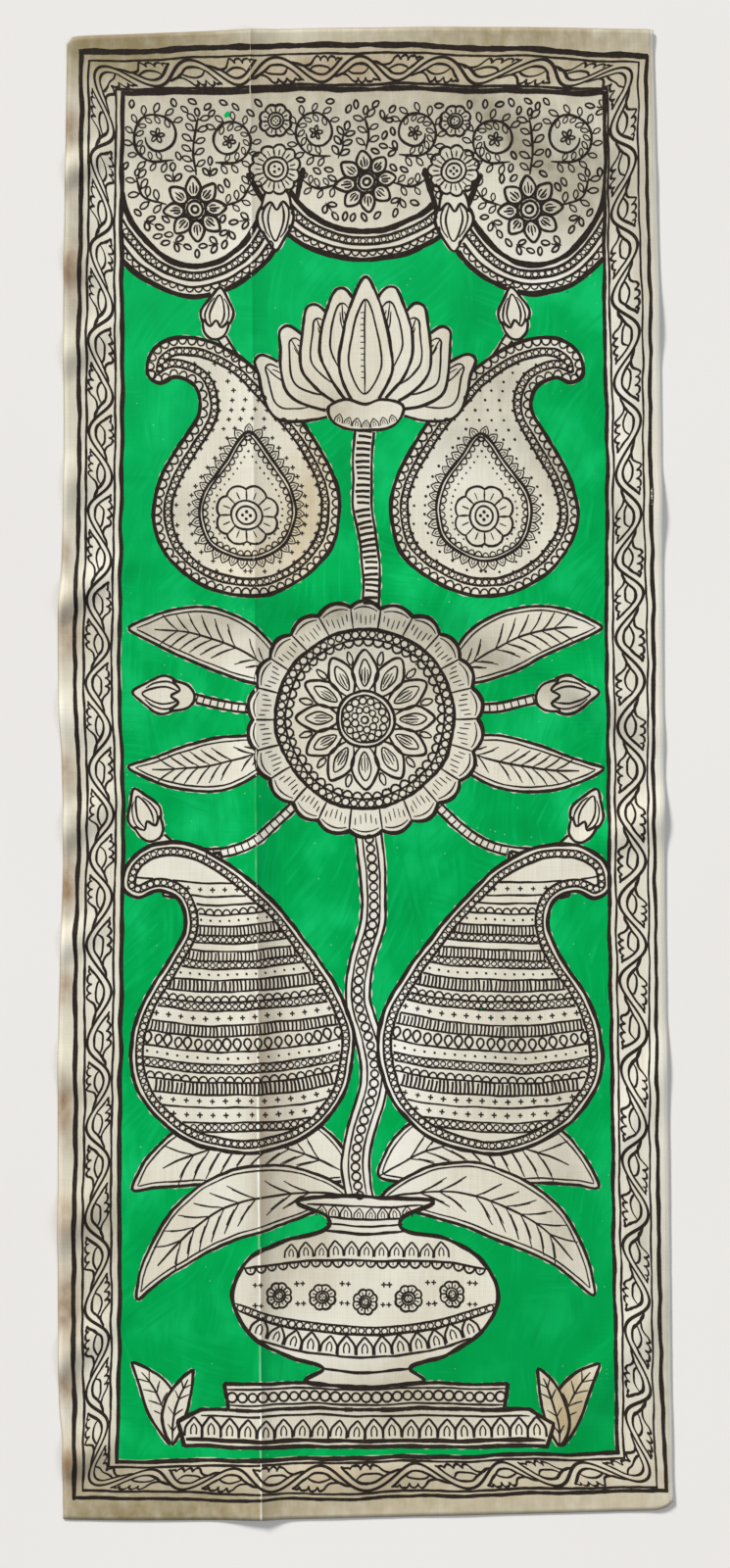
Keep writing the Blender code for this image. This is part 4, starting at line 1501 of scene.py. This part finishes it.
def rowTree():
    # repeats one mark along lines; each line carries its own spacing and size
    tree, given = newTree("marksInRows", (
        ("Mark", "Object", None), ("Seed", "Int", 4),
        ("Uneven Size", "Float", 0.10), ("Uneven Turn", "Float", 0.10),
    ))
    lines = addNode(tree, "GeometryNodeMeshToCurve", {0: given["Geometry"]})
    spacing = addNode(tree, "GeometryNodeInputNamedAttribute", {"Name": "spacing"}, data_type="FLOAT")
    spots = addNode(tree, "GeometryNodeResampleCurve", {"Curve": lines, "Length": spacing}, mode="LENGTH")
    mark = addNode(tree, "GeometryNodeObjectInfo", {"Object": given["Mark"]}).outputs["Geometry"]
    heading = addNode(tree, "GeometryNodeInputTangent")
    facing = addNode(tree, "FunctionNodeAlignRotationToVector", {"Vector": heading}, axis="X", pivot_axis="Z")
    back = addNode(tree, "ShaderNodeMath", {0: given["Uneven Turn"], 1: -1.0}, operation="MULTIPLY")
    limits = {2: back, 3: given["Uneven Turn"], 8: given["Seed"]}
    slip = addNode(tree, "FunctionNodeRandomValue", limits, data_type="FLOAT").outputs[1]
    slip = addNode(tree, "FunctionNodeEulerToRotation", {0: addNode(tree, "ShaderNodeCombineXYZ", {2: slip})})
    turned = addNode(tree, "FunctionNodeRotateRotation", {0: facing, 1: slip}, rotation_space="LOCAL")
    size = addNode(tree, "GeometryNodeInputNamedAttribute", {"Name": "size"}, data_type="FLOAT")
    less = addNode(tree, "ShaderNodeMath", {0: 1.0, 1: given["Uneven Size"]}, operation="SUBTRACT")
    more = addNode(tree, "ShaderNodeMath", {0: 1.0, 1: given["Uneven Size"]}, operation="ADD")
    limits = {2: less, 3: more, 8: given["Seed"]}
    share = addNode(tree, "FunctionNodeRandomValue", limits, data_type="FLOAT").outputs[1]
    scale = addNode(tree, "ShaderNodeMath", {0: size, 1: share}, operation="MULTIPLY")
    marks = addNode(tree, "GeometryNodeInstanceOnPoints", {
        "Points": spots, "Instance": mark, "Rotation": turned, "Scale": scale,
    })
    return layOnCloth(tree, given, marks)


def vineTree():
    # sets motifs in a row, then bends the row into the band between two rails
    tree, given = newTree("vineBetweenRails", (
        ("Outer Rail", "Object", None), ("Inner Rail", "Object", None),
        ("Motif 1", "Object", None), ("Motif 2", "Object", None), ("Motif 3", "Object", None),
        ("Period", "Float", vinePlan["period"] / 1000), ("Half Width", "Float", vinePlan["halfWidth"] / 1000),
        ("Count", "Int", 44), ("Lead", "Float", float(vinePlan["lead"])), ("Seed", "Int", vinePlan["seed"]),
    ))
    step = addNode(tree, "ShaderNodeCombineXYZ", {0: given["Period"]})
    crests = addNode(tree, "GeometryNodeMeshLine", {"Count": given["Count"], "Offset": step},
                     mode="OFFSET", count_mode="TOTAL")
    joined = addNode(tree, "GeometryNodeJoinGeometry")
    for label in ("Motif 3", "Motif 2", "Motif 1"):
        motif = addNode(tree, "GeometryNodeObjectInfo", {"Object": given[label], "As Instance": True})
        tree.links.new(motif.outputs["Geometry"], joined.inputs[0])
    pick = addNode(tree, "FunctionNodeRandomValue", {4: 0, 5: 2, 8: given["Seed"]}, data_type="INT")
    vines = addNode(tree, "GeometryNodeInstanceOnPoints", {
        "Points": crests, "Instance": joined, "Pick Instance": True, "Instance Index": pick.outputs[2],
    })
    whole = addNode(tree, "GeometryNodeRealizeInstances", {0: vines})
    x, y, z = addNode(tree, "ShaderNodeSeparateXYZ", {0: addNode(tree, "GeometryNodeInputPosition")}).outputs
    railPlace = addNode(tree, "ShaderNodeMath", {0: x, 1: 1000.0, 2: given["Lead"]}, operation="MULTIPLY_ADD")
    before = addNode(tree, "ShaderNodeMath", {0: railPlace}, operation="FLOOR")
    after = addNode(tree, "ShaderNodeMath", {0: before, 1: 1.0}, operation="ADD")
    share = addNode(tree, "ShaderNodeMath", {0: railPlace}, operation="FRACT")
    found = []
    for label in ("Outer Rail", "Inner Rail"):
        rail = addNode(tree, "GeometryNodeObjectInfo", {"Object": given[label]}).outputs["Geometry"]
        railPoint = addNode(tree, "GeometryNodeInputPosition")
        ends = []
        for index in (before, after):
            wanted = {"Geometry": rail, "Value": railPoint, "Index": index}
            ends.append(addNode(tree, "GeometryNodeSampleIndex", wanted,
                                data_type="FLOAT_VECTOR", domain="POINT", clamp=True))
        spot = addNode(tree, "ShaderNodeMix", {0: share, 4: ends[0], 5: ends[1]}, data_type="VECTOR")
        found.append(spot.outputs[1])
    out = addNode(tree, "ShaderNodeMath", {0: y, 1: given["Half Width"]}, operation="DIVIDE")
    inward = addNode(tree, "ShaderNodeMath", {0: out, 1: -0.5, 2: 0.5}, operation="MULTIPLY_ADD")
    between = addNode(tree, "ShaderNodeMix", {0: inward, 4: found[0], 5: found[1]},
                      data_type="VECTOR", clamp_factor=False).outputs[1]
    flat = addNode(tree, "ShaderNodeSeparateXYZ", {0: between}).outputs
    bent = addNode(tree, "ShaderNodeCombineXYZ", {0: flat[0], 1: flat[1], 2: z})
    wound = addNode(tree, "GeometryNodeSetPosition", {"Geometry": whole, "Position": bent})
    return layOnCloth(tree, given, wound)


filmPlan = {"green": 0.00005, "lines": 0.00009, "rows": 0.00012}     # height of each film over the cloth


def grow(name, mesh, tree, film, material, values=None):
    # runs a node tree on a drawing and keeps the result as a plain mesh
    piece = linkPiece(name, mesh)
    modifier = piece.modifiers.new(tree.name, "NODES")
    modifier.node_group = tree
    identifiers = {item.name: item.identifier for item in tree.interface.items_tree if item.in_out == "INPUT"}
    values = {"Cloth": cloth, "Film Height": filmPlan[film], "Material": material, **(values or {})}
    for label, value in values.items():
        modifier[identifiers[label]] = value
    bpy.context.view_layer.update()
    result = bpy.data.meshes.new_from_object(piece.evaluated_get(bpy.context.evaluated_depsgraph_get()))
    piece.modifiers.clear()
    piece.data = result
    result.name = name
    print(name + ":", len(result.polygons), "faces")
    return piece


def discard(*pieces):
    for piece in pieces:
        bpy.data.objects.remove(piece)


# The green ground: the panel without the forms, which stand in a narrow band of bare silk.
groundPlan = {
    "share": (0.997, 0.9985),                   # of the panel's outline
    "edgeStep": 2.2, "edgeWobble": 0.22,
    "formStep": 1.3, "halo": 0.95, "haloChange": 0.35, "haloRate": 0.9,
    "smudgeWobble": 0.3,
}
smudges = (((-70.5, 336.0), 1.5), ((-58.6, 318.3), 0.9), ((58.5, -120.0), 1.1), ((103, 246), 0.8))


def groundMesh():
    corners = zip(panelOutline, np.roll(panelOutline, -1, axis=0))
    sides = [evenly(pair, groundPlan["edgeStep"])[:-1] for pair in corners]
    panelEdge = np.vstack(sides) * groundPlan["share"]
    wobble = [handNoise(panelEdge[:, axis] / 3, 0, seed) for axis, seed in ((1, 3), (0, 4))]
    panelEdge = swayed(panelEdge) + groundPlan["edgeWobble"] * np.column_stack(wobble)
    rings, holes = [panelEdge], []
    for i, outline in enumerate(silhouettes):
        outline = counter(evenly(outline, groundPlan["formStep"], True))
        places = np.arange(len(outline)) * groundPlan["haloRate"]
        halo = groundPlan["halo"] + groundPlan["haloChange"] * handNoise(places, 0 * places, 50 + i)
        moved = beside(outline, -halo[:, None], True)
        rings.append(moved)
        holes += [outline, moved]
    points, edges = [], []
    for ring in rings:
        start, count = len(points), len(ring)
        points += [*ring]
        edges += [(start + i, start + (i + 1) % count) for i in range(count)]
    free = np.column_stack([gridX.ravel(), gridY.ravel()]) * 1000
    points += [*free[inside(free, panelEdge)]]
    points, _, faces = delaunay_2d_cdt([Vector(point) for point in points], edges, [], 0, 1e-5, False)[:3]
    points, faces = np.array([tuple(point) for point in points]), np.array(faces)
    middles = points[faces].mean(axis=1)
    kept = inside(middles, panelEdge)
    for ring in holes:
        low, high = ring.min(axis=0), ring.max(axis=0)
        near = np.flatnonzero(kept & (middles > low).all(axis=1) & (middles < high).all(axis=1))
        kept[near[inside(middles[near], ring)]] = False
    used = np.unique(faces[kept])
    points, faces = [*points[used]], np.searchsorted(used, faces[kept]).tolist()
    for (x, y), radius in smudges:
        edge = arc(radius, x, y, radius / 2)
        wobble = [handNoise(edge[:, 0] * 2, edge[:, 1] * 2, 8), handNoise(edge[:, 1] * 2, edge[:, 0], 9)]
        faces.append(list(range(len(points), len(points) + len(edge))))
        points += [*(edge + groundPlan["smudgeWobble"] * radius * np.column_stack(wobble))]
    return drawnMesh("green_ground", points, (), faces)


onCloth = filmTree()
panel()
print("panel drawn:", len(drawing), "marks,", len(silhouettes), "forms")
green = grow("green_ground", groundMesh(), onCloth, "green", greenPaint)
panelCount = len(drawing)
border()


def linesOf(marks, name):
    strips = []
    for i, mark in enumerate(marks):
        if mark["kind"] == "line":
            sides = brushStrip(mark["points"], mark["width"], mark["closed"], mark["taper"], i + 1)
            strips.append((*sides, mark["closed"], i % hand["layerCount"]))
    return grow(name, stripMesh(name, strips), onCloth, "lines", blackInk)


def rowsOf(kind, marks):
    points, edges, spacings, sizes = [], [], [], []
    for mark in marks:
        start, count = len(points), len(mark["points"])
        points += [*mark["points"]]
        edges += [(start + i, start + (i + 1) % count) for i in range(count if mark["closed"] else count - 1)]
        spacings += [mark["spacing"] / 1000] * count
        sizes += [mark["size"]] * count
    mesh = drawnMesh("rows", points, edges)
    for name, values in (("spacing", spacings), ("size", sizes)):
        mesh.attributes.new(name, "FLOAT", "POINT").data.foreach_set("value", values)
    mark = linkPiece("mark", markMesh(rowMarks[kind]))
    piece = grow("ink_marks_" + kind, mesh, inRows, "rows", blackInk, {"Mark": mark})
    discard(mark)
    return piece


inked = [linesOf(drawing[:panelCount], "ink_panel_lines"), linesOf(drawing[panelCount:], "ink_border_lines")]
inRows = rowTree()
for kind in rowMarks:
    marks = [mark for mark in drawing if mark["kind"] == kind]
    if marks:
        inked.append(rowsOf(kind, marks))

rails = [vineRail("outerThin", vinePlan["outerRound"]), vineRail("innerThin", vinePlan["innerRound"])]
seeds = [vinePlan["seed"] + i for i in range(vinePlan["variants"])]
motifs = [linkPiece("motif", stripMesh("motif", vineMotif(seed))) for seed in seeds]
vineValues = {
    "Outer Rail": rails[0], "Inner Rail": rails[1],
    "Motif 1": motifs[0], "Motif 2": motifs[1], "Motif 3": motifs[2],
    "Count": 2 * (vinePlan["countLong"] + vinePlan["countShort"]),
}
inked.append(grow("ink_leaf_vine", bpy.data.meshes.new("vine"), vineTree(), "lines", blackInk, vineValues))
discard(*rails, *motifs)


# Plain pale floor and soft studio light, the key from the upper left.
studioPlan = {
    "floor": "EFEDEC", "floorCloud": "E6E2DF", "floorSize": 9.0, "cloudSize": (0.3, 0.3), "roughness": 0.8,
    "world": "F6F7F8", "worldStrength": 0.36,
    "key": {"from": (-4.2, 7.0, 3.7), "spread": 14.0, "strength": 4.16, "colour": "FFFDF8"},
    "fill": {"from": (5.0, -4.0, 6.0), "spread": 26.0, "strength": 0.46, "colour": "F6F9FF"},
}


def floorMaterial():
    # White board: matt, with hardly a cloud in it.
    material, tree, place = newMaterial("matt white board")
    clouds = streaks(tree, place, studioPlan["cloudSize"])
    colour = overlay(tree, studioPlan["floor"], studioPlan["floorCloud"], clouds, (0.3, 0.7, 0, 0.25))
    surface(tree, {"Base Color": colour, "Roughness": studioPlan["roughness"]})
    return material


def studio():
    half = studioPlan["floorSize"] * 1000 / 2
    corners = [(-half, -half), (half, -half), (half, half), (-half, half)]
    floor = linkPiece("floor", drawnMesh("floor", corners, (), [(0, 1, 2, 3)]))
    floor.data.materials.append(floorMaterial())
    for name in ("key", "fill"):
        plan = studioPlan[name]
        light = bpy.data.lights.new(name, "SUN")       # a far, wide softbox: as bright all over the floor
        light.angle = math.radians(plan["spread"])
        light.energy = plan["strength"]
        light.color = hexColour(plan["colour"])[:3]
        lamp = linkPiece(name, light)
        lamp.location = plan["from"]
        lamp.rotation_euler = (-Vector(plan["from"])).to_track_quat("-Z", "Y").to_euler()
    world = bpy.data.worlds.new("studio")
    world.use_nodes = True
    sky = world.node_tree.nodes["Background"]
    sky.inputs[0].default_value = hexColour(studioPlan["world"])
    sky.inputs[1].default_value = studioPlan["worldStrength"]
    bpy.context.scene.world = world
    bpy.context.scene.view_settings.view_transform = "Standard"


studio()
print("studio set")

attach(cloth, "root")
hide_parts("painted_cloth")
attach(green, "root")
for piece in inked:
    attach(piece, "root")
